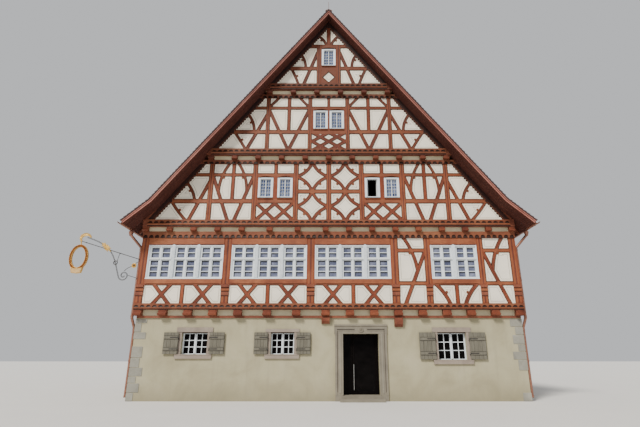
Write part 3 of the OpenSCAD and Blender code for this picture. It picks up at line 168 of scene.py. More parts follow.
# Each wall's frame as a matrix from (u, w, z) to the world. The back and left walls are mirrored.
WALLS = {
    "front": Matrix(((1, 0, 0, 0), (0, -1, 0, -HALF_D), (0, 0, 1, 0), (0, 0, 0, 1))),
    "back": Matrix(((1, 0, 0, 0), (0, 1, 0, HALF_D), (0, 0, 1, 0), (0, 0, 0, 1))),
    "right": Matrix(((0, 1, 0, HALF_W), (1, 0, 0, 0), (0, 0, 1, 0), (0, 0, 0, 1))),
    "left": Matrix(((0, -1, 0, -HALF_W), (1, 0, 0, 0), (0, 0, 1, 0), (0, 0, 0, 1))),
}
GABLES = ("front", "back")
WORLD = Matrix.Identity(4)


def left_of(along):
    """Vector on the left hand side of one in a plane"""
    return Vector((-along.y, along.x))


def winding(points):
    """Twice the area of an outline, above 0 where it runs counter-clockwise"""
    return sum(a.x * b.y - a.y * b.x for a, b in zip(points, points[1:] + points[:1]))


def clipped(outline, fence):
    """Part of an outline inside a convex counter-clockwise fence"""
    for start, end in zip(fence, fence[1:] + fence[:1]):
        along = end - start
        inside = [along.x * (p.y - start.y) - along.y * (p.x - start.x) for p in outline]
        kept = []
        for i, (p, side) in enumerate(zip(outline, inside)):
            q, before = outline[i - 1], inside[i - 1]
            if (side >= 0) != (before >= 0):
                kept.append(q + (p - q) * (before / (before - side)))
            if side >= 0:
                kept.append(p)
        outline = kept
    return [p for i, p in enumerate(outline) if (p - outline[i - 1]).length > 1e-4]


def offset_loop(points, distance):
    """Corners of a counter-clockwise outline of (u, z) points moved inwards, or None where nothing is left"""
    lines = []
    for i, p in enumerate(points):
        along = (points[(i + 1) % len(points)] - p).normalized()
        lines.append((p + left_of(along) * distance, along))
    while len(lines) >= 3:
        corners = []
        for i, (p, along) in enumerate(lines):
            q, before = lines[i - 1]
            cross = before.x * along.y - before.y * along.x
            if abs(cross) < 0.02:
                corners.append(p.copy())
            else:
                gap = p - q
                corners.append(q + before * ((gap.x * along.y - gap.y * along.x) / cross))
        spans = [(corners[(i + 1) % len(corners)] - corners[i]).dot(lines[i][1]) for i in range(len(lines))]
        worst = min(range(len(spans)), key=lambda i: spans[i])
        if spans[worst] > 0.004:
            return corners if winding(corners) / 2 > 0.002 else None
        del lines[worst]
    return None


def curved(a, b, sag, steps=8):
    """Points of a bow from a to b that swings out by sag on the left hand side"""
    a, b = Vector(a), Vector(b)
    out = Vector((a.y - b.y, b.x - a.x)).normalized() * sag * 4
    shares = [i / steps for i in range(steps + 1)]
    return [a + (b - a) * t + out * t * (1 - t) for t in shares]


def strip(points, width, spur=0):
    """Outline of a timber along points, run on by its width; spur is the side of its carved point"""
    line = [Vector(p) for p in points]
    line.insert(0, line[0] + (line[0] - line[1]).normalized() * width)
    line.append(line[-1] + (line[-1] - line[-2]).normalized() * width)
    edges = {1: [], -1: []}
    for i, p in enumerate(line):
        along = (line[min(i + 1, len(line) - 1)] - line[max(i - 1, 0)]).normalized()
        across = left_of(along)
        for side, edge in edges.items():
            root = p + across * side * width / 2
            if side == spur and i == len(line) // 2:
                edge += [root - along * 0.019, root + across * side * SPUR_H, root + along * 0.019]
            else:
                edge.append(root)
    return edges[1] + edges[-1][::-1]


def new_object(name, data):
    """Object of some data, linked to the scene"""
    obj = bpy.data.objects.new(name, data)
    bpy.context.scene.collection.objects.link(obj)
    return obj


class Shape:
    """Gathers closed solids into one piece"""

    def __init__(self):
        self.verts = []
        self.faces = []

    def add(self, verts, faces, place=WORLD):
        """place is a matrix or the name of a wall"""
        if isinstance(place, str):
            place = WALLS[place]
        start = len(self.verts)
        self.verts += [tuple(place @ Vector(v)) for v in verts]
        self.faces += [[start + i for i in face] for face in faces]

    def loft(self, rings, place=WORLD, closed=False):
        """Solid through rings of as many points each, capped at both ends or closed upon itself"""
        n, count = len(rings[0]), len(rings)
        faces = [] if closed else [list(range(n)), [(count - 1) * n + i for i in range(n)]]
        for k in range(count if closed else count - 1):
            a, b = k * n, (k + 1) % count * n
            faces += [[a + i, a + (i + 1) % n, b + (i + 1) % n, b + i] for i in range(n)]
        self.add([p for ring in rings for p in ring], faces, place)

    def slab(self, outline, w0, w1, wall):
        """Outline of (u, z) points as a plate from w0 to w1"""
        self.loft([[(u, w, z) for u, z in outline] for w in (w0, w1)], wall)

    def block(self, u0, u1, w0, w1, z0, z1, wall, chamfer=0.004):
        """Block on a wall, its front edges chamfered"""
        rings = []
        for w, inset in ((w0, 0), (w1 - chamfer, 0), (w1, chamfer)):
            rings.append([
                (u0 + inset, w, z0 + inset), (u1 - inset, w, z0 + inset),
                (u1 - inset, w, z1 - inset), (u0 + inset, w, z1 - inset),
            ])
        self.loft(rings, wall)

    def frame(self, u0, u1, z0, z1, borders, w0, w1, wall, chamfer=0.004):
        """Frame of four bars; borders are the widths at its left, right, bottom and top"""
        left, right, bottom, top = borders
        for a, b in ((u0, u0 + left), (u1 - right, u1)):
            self.block(a, b, w0, w1, z0, z1, wall, chamfer)
        for a, b in ((z0, z0 + bottom), (z1 - top, z1)):
            self.block(u0 + left, u1 - right, w0, w1, a, b, wall, chamfer)

    def run(self, u0, u1, profile, wall, at=(0, 0)):
        """Straight moulding along a wall; profile holds (w, z) points, measured from a point (w, z)"""
        self.loft([[(u, at[0] + w, at[1] + z) for w, z in profile] for u in (u0, u1)], wall)

    def turned(self, u, z, profile, wall, count=12):
        """Round boss on a wall; profile holds (radius, w) points"""
        turns = [math.tau * k / count for k in range(count)]
        self.loft([[(u + r * math.cos(t), w, z + r * math.sin(t)) for t in turns] for r, w in profile], wall)

    def tube(self, points, radius, sides=8):
        """Round bar along points; radius is one number, or one for each point"""
        points = [Vector(p) for p in points]
        radii = radius if isinstance(radius, (list, tuple)) else [radius] * len(points)
        turns = [i * math.tau / sides for i in range(sides)]
        rings = []
        across = None
        for k, p in enumerate(points):
            along = (points[min(k + 1, len(points) - 1)] - points[max(k - 1, 0)]).normalized()
            if across is None:
                across = along.orthogonal().normalized()
            across = (across - along * across.dot(along)).normalized()
            other = along.cross(across)
            rings.append([p + (across * math.cos(a) + other * math.sin(a)) * radii[k] for a in turns])
        self.loft(rings)

    def piece(self, name, material, slot, body="house", smooth=False):
        """Ends the gathering: makes the object, which rides on its body"""
        mesh = bpy.data.meshes.new(name)
        mesh.from_pydata(self.verts, [], self.faces)
        bm = bmesh.new()
        bm.from_mesh(mesh)
        bmesh.ops.recalc_face_normals(bm, faces=bm.faces)
        bm.to_mesh(mesh)
        bm.free()
        if smooth:
            mesh.shade_smooth()
            mesh.set_sharp_from_angle(angle=math.radians(40))
        mesh.materials.append(material)
        obj = new_object(name, mesh)
        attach(obj, body)
        return obj


class Finish:
    """Builds one procedural material from the coordinates of the rest position"""

    def __init__(self, name, roughness, metallic=0.0, specular=0.5):
        self.material = bpy.data.materials.new(name)
        self.material.use_nodes = True
        self.tree = self.material.node_tree
        self.shader = self.tree.nodes["Principled BSDF"]
        self.shader.inputs["Roughness"].default_value = roughness
        self.shader.inputs["Metallic"].default_value = metallic
        self.shader.inputs["Specular IOR Level"].default_value = specular
        self.at = self.node("ShaderNodeTexCoord").outputs["Object"]

    def node(self, kind, **settings):
        """New node of a kind, with its settings"""
        node = self.tree.nodes.new(kind)
        for key, value in settings.items():
            setattr(node, key, value)
        return node

    def link(self, source, socket):
        """Joins an output to an input"""
        self.tree.links.new(source, socket)

    def noise(self, scale, detail=5.0, stretch=(1, 1, 1), distortion=0.0):
        """Soft noise from 0 to 1; stretch above 1 makes it finer along that axis"""
        mapping = self.node("ShaderNodeMapping")
        mapping.inputs["Scale"].default_value = stretch
        self.link(self.at, mapping.inputs["Vector"])
        noise = self.node("ShaderNodeTexNoise")
        noise.inputs["Scale"].default_value = scale
        noise.inputs["Detail"].default_value = detail
        noise.inputs["Roughness"].default_value = 0.6
        noise.inputs["Distortion"].default_value = distortion
        self.link(mapping.outputs["Vector"], noise.inputs["Vector"])
        return noise.outputs["Fac"]

    def each(self):
        """One random number for each solid of a piece"""
        return self.node("ShaderNodeNewGeometry").outputs["Random Per Island"]

    def height(self):
        """Height above the ground"""
        split = self.node("ShaderNodeSeparateXYZ")
        self.link(self.at, split.inputs["Vector"])
        return split.outputs["Z"]

    def span(self, value, low, high, to_low=0.0, to_high=1.0):
        """Value from low to high, taken to a new span and held inside it"""
        node = self.node("ShaderNodeMapRange")
        ends = {"From Min": low, "From Max": high, "To Min": to_low, "To Max": to_high}
        for socket, number in ends.items():
            node.inputs[socket].default_value = number
        self.link(value, node.inputs["Value"])
        return node.outputs["Result"]

    def ramp(self, value, *stops):
        """Colours along a value; stops are (place, colour)"""
        node = self.node("ShaderNodeValToRGB")
        elements = node.color_ramp.elements
        while len(elements) < len(stops):
            elements.new(0.5)
        for element, (place, colour) in zip(elements, stops):
            element.position = place
            element.color = (*colour, 1)
        self.link(value, node.inputs["Fac"])
        return node.outputs["Color"]

    def mix(self, share, first, second):
        """Mix of two colours; each is a socket or three numbers"""
        node = self.node("ShaderNodeMix", data_type="RGBA")
        for value, socket in ((share, node.inputs[0]), (first, node.inputs[6]), (second, node.inputs[7])):
            if isinstance(value, bpy.types.NodeSocket):
                self.link(value, socket)
            elif isinstance(value, tuple):
                socket.default_value = (*value, 1)
            else:
                socket.default_value = value
        return node.outputs[2]

    def bump(self, *layers):
        """Layers are (height, distance in metres)"""
        normal = None
        for height, distance in layers:
            node = self.node("ShaderNodeBump")
            node.inputs["Distance"].default_value = distance
            self.link(height, node.inputs["Height"])
            if normal is not None:
                self.link(normal, node.inputs["Normal"])
            normal = node.outputs["Normal"]
        self.link(normal, self.shader.inputs["Normal"])

    def done(self, colour, roughness=None):
        """Joins the colour, and the roughness where it varies, and gives the material"""
        self.link(colour, self.shader.inputs["Base Color"])
        if roughness is not None:
            self.link(roughness, self.shader.inputs["Roughness"])
        return self.material


def painted_timber(name, dark, middle, light, stretch=(1, 1, 0.18)):
    """Old oil paint on oak: patchy red brown with grain and worn lighter places"""
    f = Finish(name, 0.62, specular=0.3)
    patches = f.noise(1.1, 6, distortion=0.4)
    grain = f.noise(26, 4, stretch=stretch)
    base = f.ramp(patches, (0.30, dark), (0.50, middle), (0.72, light))
    base = f.mix(f.span(grain, 0.42, 0.62, 0.0, 0.45), base, dark)
    base = f.mix(f.span(f.noise(7, 5), 0.55, 0.75, 0.0, 0.30), base, light)
    base = f.mix(f.span(f.each(), 0, 1, 0.0, 0.25), base, light)
    base = f.mix(f.span(f.height(), 6.0, 12.5, 0.0, 0.72), base, tuple(0.72 * value for value in dark))
    f.bump((grain, 0.003), (f.noise(90, 3), 0.0006))
    return f.done(base, f.span(grain, 0.3, 0.7, 0.5, 0.72))


def plaster_coat(name, light, dark, stain):
    """Limewashed plaster with faint patches and a trowelled surface"""
    f = Finish(name, 0.9, specular=0.2)
    base = f.ramp(f.noise(1.3, 6), (0.30, dark), (0.60, light))
    streaks = f.noise(2.2, 5, stretch=(1.6, 1.6, 0.25))
    base = f.mix(f.span(streaks, 0.56, 0.82, 0.0, 0.35), base, stain)
    f.bump((f.noise(9, 4), 0.004), (f.noise(120, 4), 0.001))
    return f.done(base)


def stucco_coat():
    """Render on the masonry: warm cream with grey stains, damp near the ground, and painted shade under the
    jetty
    """
    f = Finish("stucco", 0.92, specular=0.2)
    base = f.ramp(f.noise(0.8, 7, distortion=0.6), (0.30, (0.325, 0.294, 0.190)),
                  (0.52, (0.400, 0.366, 0.242)), (0.74, (0.445, 0.408, 0.285)))
    streaks = f.noise(1.6, 6, stretch=(2.2, 2.2, 0.22))
    base = f.mix(f.span(streaks, 0.52, 0.80, 0.0, 0.5), base, (0.29, 0.262, 0.185))
    height = f.height()
    foot = f.span(height, 0.0, 0.75, 0.62, 0.0)
    damp = f.mix(f.noise(3.5, 6), (0.14, 0.13, 0.09), (0.30, 0.26, 0.16))
    base = f.mix(foot, base, damp)
    # Darker towards the top of the stone wall: painted shade under the jetty
    jetty_shade = f.span(height, 2.45, STONE_H, 0.0, 0.18)
    base = f.mix(jetty_shade, base, (0.27, 0.235, 0.15))
    f.bump((f.noise(2.5, 5), 0.012), (f.noise(70, 5), 0.002))
    return f.done(base)


def sandstone(name, light, dark):
    """Tooled grey sandstone"""
    f = Finish(name, 0.88, specular=0.2)
    base = f.ramp(f.noise(2.4, 7, distortion=0.3), (0.28, dark), (0.68, light))
    base = f.mix(f.span(f.each(), 0, 1, 0.0, 0.4), base, dark)
    base = f.mix(f.span(f.noise(30, 5), 0.55, 0.75, 0.0, 0.4), base, (0.16, 0.15, 0.14))
    f.bump((f.noise(14, 5), 0.006), (f.noise(160, 3, stretch=(1, 1, 0.35)), 0.0015))
    return f.done(base)


def old_wood(name, light, dark, along="z"):
    """Bare weathered boards, grain along an axis"""
    f = Finish(name, 0.8, specular=0.2)
    stretch = {"x": (0.06, 1, 1), "y": (1, 0.06, 1), "z": (1, 1, 0.06)}[along]
    grain = f.noise(42, 5, stretch=stretch, distortion=0.8)
    base = f.ramp(grain, (0.30, dark), (0.62, light))
    base = f.mix(f.span(f.each(), 0, 1, 0.0, 0.45), base, dark)
    base = f.mix(f.span(f.noise(2.2, 5), 0.5, 0.8, 0.0, 0.35), base, light)
    f.bump((grain, 0.002))
    return f.done(base)


def paint(name, colour, shade, rough=0.45, scale=6.0):
    """Brushed gloss paint with grime in patches"""
    f = Finish(name, rough, specular=0.4)
    base = f.mix(f.span(f.noise(scale, 6), 0.45, 0.8, 0.0, 0.7), colour, shade)
    f.bump((f.noise(60, 3, stretch=(1, 1, 0.3)), 0.0006))
    return f.done(base)


def metal(name, colour, shade, rough, metallic=1.0, scale=12.0, depth=0.001, specular=0.5):
    """Metal with patches of tarnish"""
    f = Finish(name, rough, metallic=metallic, specular=specular)
    tarnish = f.noise(scale, 6)
    base = f.mix(f.span(tarnish, 0.42, 0.72), colour, shade)
    f.bump((f.noise(scale * 6, 4), depth))
    return f.done(base, f.span(tarnish, 0.3, 0.8, max(rough - 0.12, 0.05), min(rough + 0.15, 1.0)))


def window_pane():
    """Old panes: near black painted shade over the stone floor, grey over curtains with painted reflections
    above it, bluer painted sky reflections in the attics
    """
    f = Finish("window_pane", 0.12, specular=0.05)
    height = f.height()
    # Patches of painted reflection on the glass
    reflection_patches = f.noise(2.6, 3, stretch=(1, 1, 1.8))
    curtain_and_reflection = f.ramp(reflection_patches, (0.30, (0.06, 0.07, 0.12)), (0.50, (0.13, 0.145, 0.22)),
                     (0.70, (0.24, 0.26, 0.36)))
    # Attic panes: bluer painted sky reflection
    attic = f.ramp(reflection_patches, (0.30, (0.05, 0.07, 0.15)), (0.50, (0.13, 0.17, 0.31)), (0.70, (0.25, 0.30, 0.46)))
    upper = f.mix(f.span(height, UPPER_TOP, ATTIC_Z[0]), curtain_and_reflection, attic)
    # Near black painted shade of the unlit rooms behind the stone floor's panes
    dark = f.ramp(reflection_patches, (0.35, (0.002, 0.0015, 0.0015)), (0.70, (0.005, 0.004, 0.004)))
    f.bump((f.noise(3.0, 2), 0.003))
    return f.done(f.mix(f.span(height, STONE_H, UPPER_Z), dark, upper))


def clay_tiles(name, colours, dark):
    """Old clay plain tiles: each its own shade, with soot and lichen"""
    f = Finish(name, 0.86, specular=0.2)
    base = f.ramp(f.each(), *[(i / (len(colours) - 1), c) for i, c in enumerate(colours)])
    base = f.mix(f.span(f.noise(0.7, 6), 0.42, 0.72, 0.0, 0.65), base, dark)
    base = f.mix(f.span(f.noise(24, 5), 0.58, 0.72, 0.0, 0.35), base, (0.30, 0.29, 0.24))
    f.bump((f.noise(55, 4), 0.0015))
    return f.done(base)


OXBLOOD = painted_timber("timber", (0.092, 0.0234, 0.0144), (0.188, 0.053, 0.0288), (0.288, 0.0975, 0.0504))
OXBLOOD_LIGHT = painted_timber("timber_light", (0.136, 0.0374, 0.0168), (0.231, 0.0718, 0.0307),
                               (0.313, 0.112, 0.0495))
OXBLOOD_PALE = painted_timber("timber_pale", (0.168, 0.0431, 0.0158), (0.245, 0.0718, 0.0285),
                              (0.31, 0.106, 0.0445))
OXBLOOD_DARK = painted_timber("timber_dark", (0.045, 0.014, 0.011), (0.10, 0.028, 0.020), (0.17, 0.05, 0.032))
PLASTER = plaster_coat("plaster", (0.88, 0.816, 0.686), (0.784, 0.724, 0.608), (0.615, 0.571, 0.461))
INFILL = plaster_coat("infill_plaster", (0.62, 0.55, 0.38), (0.48, 0.42, 0.28), (0.36, 0.31, 0.21))
STUCCO = stucco_coat()
# Near black paint for painted shade along the timbers' edges
EDGE_SHADE_PAINT = painted_timber("painted_edge_shade", (0.0121, 0.0045, 0.003), (0.0209, 0.007, 0.0045),
                           (0.033, 0.01, 0.007))
# Near black paint for painted shade inside the niches
NICHE_SHADE_PAINT = painted_timber("painted_niche_shade", (0.012, 0.005, 0.003), (0.024, 0.008, 0.005),
                             (0.040, 0.013, 0.008))
LINE_PAINT = paint("line_paint", (0.30, 0.27, 0.22), (0.42, 0.38, 0.32), rough=0.9, scale=3)
DOOR_STONE = sandstone("dressed_stone", (0.266, 0.238, 0.184), (0.171, 0.153, 0.122))
PINK_STONE = sandstone("window_stone", (0.337, 0.281, 0.233), (0.232, 0.19, 0.157))
QUOIN_STONE = sandstone("quoin_stone", (0.34, 0.331, 0.28), (0.212, 0.206, 0.176))
FLOOR_STONE = sandstone("floor_stone", (0.30, 0.28, 0.25), (0.20, 0.19, 0.17))
WHITE = paint("window_white", (0.725, 0.779, 0.825), (0.544, 0.595, 0.626))
GREY_WHITE = paint("window_grey", (0.62, 0.64, 0.64), (0.46, 0.48, 0.48))
# Near black stone colour: painted shadow under the window heads and painted shade in the door's grooves
SHADE_STONE = sandstone("stone_shadow", (0.085, 0.070, 0.060), (0.050, 0.042, 0.036))
PALE_STONE = sandstone("stone_worn", (0.281, 0.261, 0.206), (0.202, 0.183, 0.147))
# Dark paint for painted shadows on the panes
PANE_SHADOW_PAINT = paint("painted_pane_shadow", (0.055, 0.058, 0.072), (0.030, 0.031, 0.038), rough=0.7)
PANE = window_pane()
TILES = clay_tiles("roof_tiles", [(0.150, 0.062, 0.045), (0.240, 0.100, 0.066), (0.180, 0.088, 0.070),
                                  (0.290, 0.135, 0.092)], (0.060, 0.040, 0.035))
# Darker copy of the roof tiles for the tiles on the roof's edges: painted shade on their undersides
SHADED_EDGE_TILES = clay_tiles("tile_edges_in_shade", [(0.050, 0.028, 0.026), (0.075, 0.042, 0.040), (0.060, 0.040, 0.042)],
                        (0.030, 0.022, 0.024))
VERGE = painted_timber("verge_paint", (0.24, 0.075, 0.055), (0.40, 0.15, 0.115), (0.52, 0.23, 0.18))
SOFFIT = old_wood("soffit_boards", (0.115, 0.036, 0.026), (0.045, 0.015, 0.012), along="x")
COPPER = metal("gutter_metal", (0.36, 0.17, 0.115), (0.20, 0.095, 0.07), 0.5, metallic=0.7)
WREATH = metal("wreath_bronze", (0.50, 0.23, 0.075), (0.24, 0.10, 0.040), 0.45, metallic=0.7)
BANNER = metal("banner_gilt", (0.70, 0.47, 0.20), (0.50, 0.30, 0.12), 0.5, metallic=0.5)
SHADOW_PAINT = painted_timber("shadow_paint", (0.018, 0.0066, 0.0054), (0.03, 0.0096, 0.0072),
                              (0.048, 0.0156, 0.0108))
LEVEL, SLANTING = (0.18, 0.18, 1), (0.5, 0.5, 0.5)
POST_WOOD = painted_timber("post_wood", (0.126, 0.024, 0.00845), (0.227, 0.048, 0.0172),
                           (0.315, 0.0816, 0.0325))
RAIL_WOOD = painted_timber("rail_wood", (0.128, 0.0333, 0.0155), (0.247, 0.0706, 0.0294),
                           (0.359, 0.127, 0.0541), stretch=LEVEL)
BRACE_WOOD = painted_timber("brace_wood", (0.084, 0.0172, 0.00928), (0.161, 0.0322, 0.0152),
                            (0.253, 0.0645, 0.0272), stretch=SLANTING)
FRIEZE_WOOD = painted_timber("frieze_wood", (0.0918, 0.0225, 0.0106), (0.184, 0.0527, 0.0238),
                             (0.269, 0.105, 0.0475), stretch=LEVEL)
BEAM_WOOD = painted_timber("beam_wood", (0.0816, 0.0179, 0.0091), (0.163, 0.0384, 0.0171),
                           (0.245, 0.0704, 0.0302), stretch=SLANTING)
SHUTTER = old_wood("shutter_wood", (0.191, 0.18, 0.142), (0.106, 0.0986, 0.0778))
SHUTTER_DARK = old_wood("shutter_shadow", (0.045, 0.040, 0.034), (0.022, 0.020, 0.018))
IRON = metal("wrought_iron", (0.035, 0.035, 0.037), (0.07, 0.055, 0.045), 0.55, metallic=0.6)
DARK_METAL = metal("dark_metal", (0.0035, 0.00256, 0.00256), (0.0063, 0.0048, 0.00448), 0.6,
                   metallic=0.1, specular=0.04)
STEEL = metal("steel", (0.56, 0.56, 0.56), (0.42, 0.42, 0.42), 0.3, scale=40, depth=0.0002)
GILT = metal("gilded_iron", (0.82, 0.57, 0.17), (0.55, 0.30, 0.09), 0.42, metallic=0.6)
FLOOR_WOOD = old_wood("floor_boards", (0.30, 0.19, 0.11), (0.17, 0.10, 0.06), along="y")
INNER = plaster_coat("inner_wall", (0.50, 0.47, 0.42), (0.42, 0.40, 0.36), (0.32, 0.30, 0.27))

NODE_FINISHES = {
    FLOOR_STONE: ("ground_floor",),
    STUCCO: ("front_wall_left", "front_wall_right", "front_wall_over_door", "side_stone_walls",
             "back_stone_wall"),
    DOOR_STONE: ("door_jambs", "door_lintel", "door_steps"),
    PINK_STONE: ("window_stonework",),
    DARK_METAL: ("door_frame", "door_leaf"),
    PANE: ("side_light", "door_glass", "window_glass"),
    STEEL: ("door_handle",),
    WHITE: ("stone_floor_windows", "upper_windows", "attic_windows"),
    SHUTTER: SHUTTERS,
    IRON: ("shutter_pintles", "sign_bracket"),
    OXBLOOD: ("corbels", "wall_plates", "floor_beams", "upper_timbers", "upper_side_timbers",
              "attic_timbers"),
    INFILL: ("beam_infill",),
    PLASTER: ("upper_panels", "attic_panels"),
    FLOOR_WOOD: ("timber_floors",),
    INNER: ("upper_gable_walls", "upper_side_walls", "attic_walls"),
    TILES: ("roof_left", "roof_right", "ridge_cap"),
    VERGE: ("verge_boards",),
    COPPER: ("gutters", "downpipes"),
    GILT: ("sign_wreath",),
}
for finish, names in NODE_FINISHES.items():
    for name in names:
        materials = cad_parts[name].data.materials
        if not len(materials):
            materials.append(finish)
        for i in range(len(materials)):
            materials[i] = finish


def welded(node):
    """Editable copy of a CAD node's mesh, with the corners that its faces share joined"""
    bm = bmesh.new()
    bm.from_mesh(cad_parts[node].data)
    bmesh.ops.remove_doubles(bm, verts=bm.verts, dist=1e-5)
    return bm


def solids(node):
    """Boxes of a CAD node's separate solids, as (low corner, high corner)"""
    bm = welded(node)
    seen = set()
    boxes = []
    for start in bm.verts:
        if start.index in seen:
            continue
        seen.add(start.index)
        stack, found = [start], []
        while stack:
            vert = stack.pop()
            found.append(vert.co.copy())
            for edge in vert.link_edges:
                other = edge.other_vert(vert)
                if other.index not in seen:
                    seen.add(other.index)
                    stack.append(other)
        boxes.append((Vector(map(min, *found)), Vector(map(max, *found))))
    bm.free()
    return boxes


def wall_boxes(node):
    """Boxes of a node's solids, each in its wall's own frame: wall name, u0, u1, w1, z0, z1"""
    found = []
    for low, high in solids(node):
        middle = (low + high) / 2
        gaps = {
            "front": HALF_D + middle.y, "back": HALF_D - middle.y,
            "right": HALF_W - middle.x, "left": HALF_W + middle.x,
        }
        wall = min(gaps, key=gaps.get)
        corners = [WALLS[wall].inverted() @ corner for corner in (low, high)]
        u0, u1 = sorted(corner.x for corner in corners)
        found.append((wall, u0, u1, max(corner.y for corner in corners), low.z, high.z))
    return found


def windows_on(wall):
    """Long windows of a wall's timber storey, as (left, right)"""
    return sorted(box[1:3] for box in wall_boxes("upper_windows") if box[0] == wall)


def panel_outlines():
    """Outlines of the plaster panels as (wall, w of the panel's face, counter-clockwise (u, z) points)"""
    found = []
    for node in ("upper_panels", "attic_panels"):
        bm = welded(node)
        bm.normal_update()
        keep = set()
        for face in bm.faces:
            n, c = face.normal, face.calc_center_median()
            gable = abs(n.y) > 0.99 and n.y * c.y > 0 and abs(c.y) > HALF_D + FACES[0] - 0.05
            side = abs(n.x) > 0.99 and n.x * c.x > 0 and abs(c.x) > HALF_F - 0.05
            if gable or side:
                keep.add(face)
        bmesh.ops.delete(bm, geom=[f for f in bm.faces if f not in keep], context="FACES")
        bmesh.ops.dissolve_limit(bm, angle_limit=math.radians(1), verts=bm.verts, edges=bm.edges)
        for face in bm.faces:
            if face.calc_area() < 0.004:
                continue
            n = face.normal
            if abs(n.y) > 0.5:
                wall = "front" if n.y < 0 else "back"
            else:
                wall = "right" if n.x > 0 else "left"
            back = WALLS[wall].inverted()
            local = [back @ v.co for v in face.verts]
            outline = [Vector((p.x, p.z)) for p in local]
            if winding(outline) < 0:
                outline.reverse()
            found.append((wall, local[0].y, outline))
        bm.free()
    return found


def loop_band(shape, wall, outline, outer, width, w0, w1, crown=0.0):
    """Closed band along an outline; outer is how far inside the outline its outer edge lies"""
    first = offset_loop(outline, outer)
    if first is None:
        return False
    second = []
    for i, p in enumerate(first):
        in_a = left_of((p - first[i - 1]).normalized())
        in_b = left_of((first[(i + 1) % len(first)] - p).normalized())
        middle = in_a + in_b
        if middle.length < 0.2:
            return False
        middle.normalize()
        second.append(p + middle * min(width / max(middle.dot(in_a), 0.2), width * 3))
    rings = []
    for a, b in zip(first, second):
        m = (a + b) / 2
        rings.append([(a.x, w0, a.y), (a.x, w1, a.y), (m.x, w1 + crown, m.y), (b.x, w1, b.y), (b.x, w0, b.y)])
    shape.loft(rings, wall, closed=True)
    return True


def accompanying_lines():
    """Painted lines inside each plaster panel, and near black bands on the timbers' edges round it, painted
    shade where timber meets plaster
    """
    lines, shade_bands, beads = Shape(), Shape(), Shape()
    for wall, face, outline in panel_outlines():
        for inset in (0.070, 0.045):
            if loop_band(lines, wall, outline, inset, 0.013, face - 0.001, face + 0.001):
                break
        timber = face + PANEL_BACK
        # Near black band on the timber along the panel's edge: painted shade
        loop_band(shade_bands, wall, outline, -0.024, 0.022, timber - 0.002, timber + 0.0085)
        loop_band(beads, wall, outline, -0.040, 0.014, timber - 0.002, timber + 0.0095, 0.003)
    lines.piece("panel_lines", LINE_PAINT, "plaster")
    shade_bands.piece("timber_edge_shading", EDGE_SHADE_PAINT, "timber")
    beads.piece("timber_beads", OXBLOOD_PALE, "timber")


def transom_cells(width, height, lights, transom):
    """Openings of a window frame as (column, u0, u1, row, z0, z1); row 1 is above the transom"""
    bar = FRAME_BAR
    cells = []
    for light in range(lights):
        u0 = light * width / lights + (bar if light == 0 else bar * 1.2)
        u1 = (light + 1) * width / lights - (bar if light == lights - 1 else bar * 1.2)
        middle = (u0 + u1) / 2
        for column, (a, b) in enumerate(((u0, middle - bar / 2), (middle + bar / 2, u1))):
            cells.append((column, a, b, 0, bar, transom - bar / 2))
            cells.append((column, a, b, 1, transom + bar / 2, height - bar))
    return cells


def casement(shape, wall, u0, u1, z0, z1, w, columns, rows, borders, bar, shadow_strips=None):
    """Sash of one opening, its face at w, with glazing bars; borders are left, right, bottom and top.

    The last argument, when given, gathers dark strips on each pane's top and left: painted shadow.
    """
    left, right, bottom, top = borders
    deep = w - 0.034
    shape.frame(u0, u1, z0, z1, borders, deep, w, wall)
    us = [u0 + left + (u1 - right - u0 - left) * i / columns for i in range(columns + 1)]
    zs = [z0 + bottom + (z1 - top - z0 - bottom) * i / rows for i in range(rows + 1)]
    for u in us[1:-1]:
        shape.block(u - bar / 2, u + bar / 2, deep, w - 0.006, zs[0], zs[-1], wall, 0.003)
    for z in zs[1:-1]:
        shape.block(us[0], us[-1], deep, w - 0.007, z - bar / 2, z + bar / 2, wall, 0.003)
    if shadow_strips is None:
        return
    # Dark strips on the glass along each pane's top and left: painted shadow of the bars and frame
    for i, (a, b) in enumerate(zip(us, us[1:])):
        a, b = a + (bar / 2 if i else 0), b - (bar / 2 if i < columns - 1 else 0)
        for k, (c, d) in enumerate(zip(zs, zs[1:])):
            c, d = c + (bar / 2 if k else 0), d - (bar / 2 if k < rows - 1 else 0)
            shade = d - (d - c) * 0.26
            shadow_strips.block(a, b, w - 0.047, w - 0.036, shade, d, wall, 0.001)
            shadow_strips.block(a, a + (b - a) * 0.12, w - 0.047, w - 0.036, c, shade, wall, 0.001)


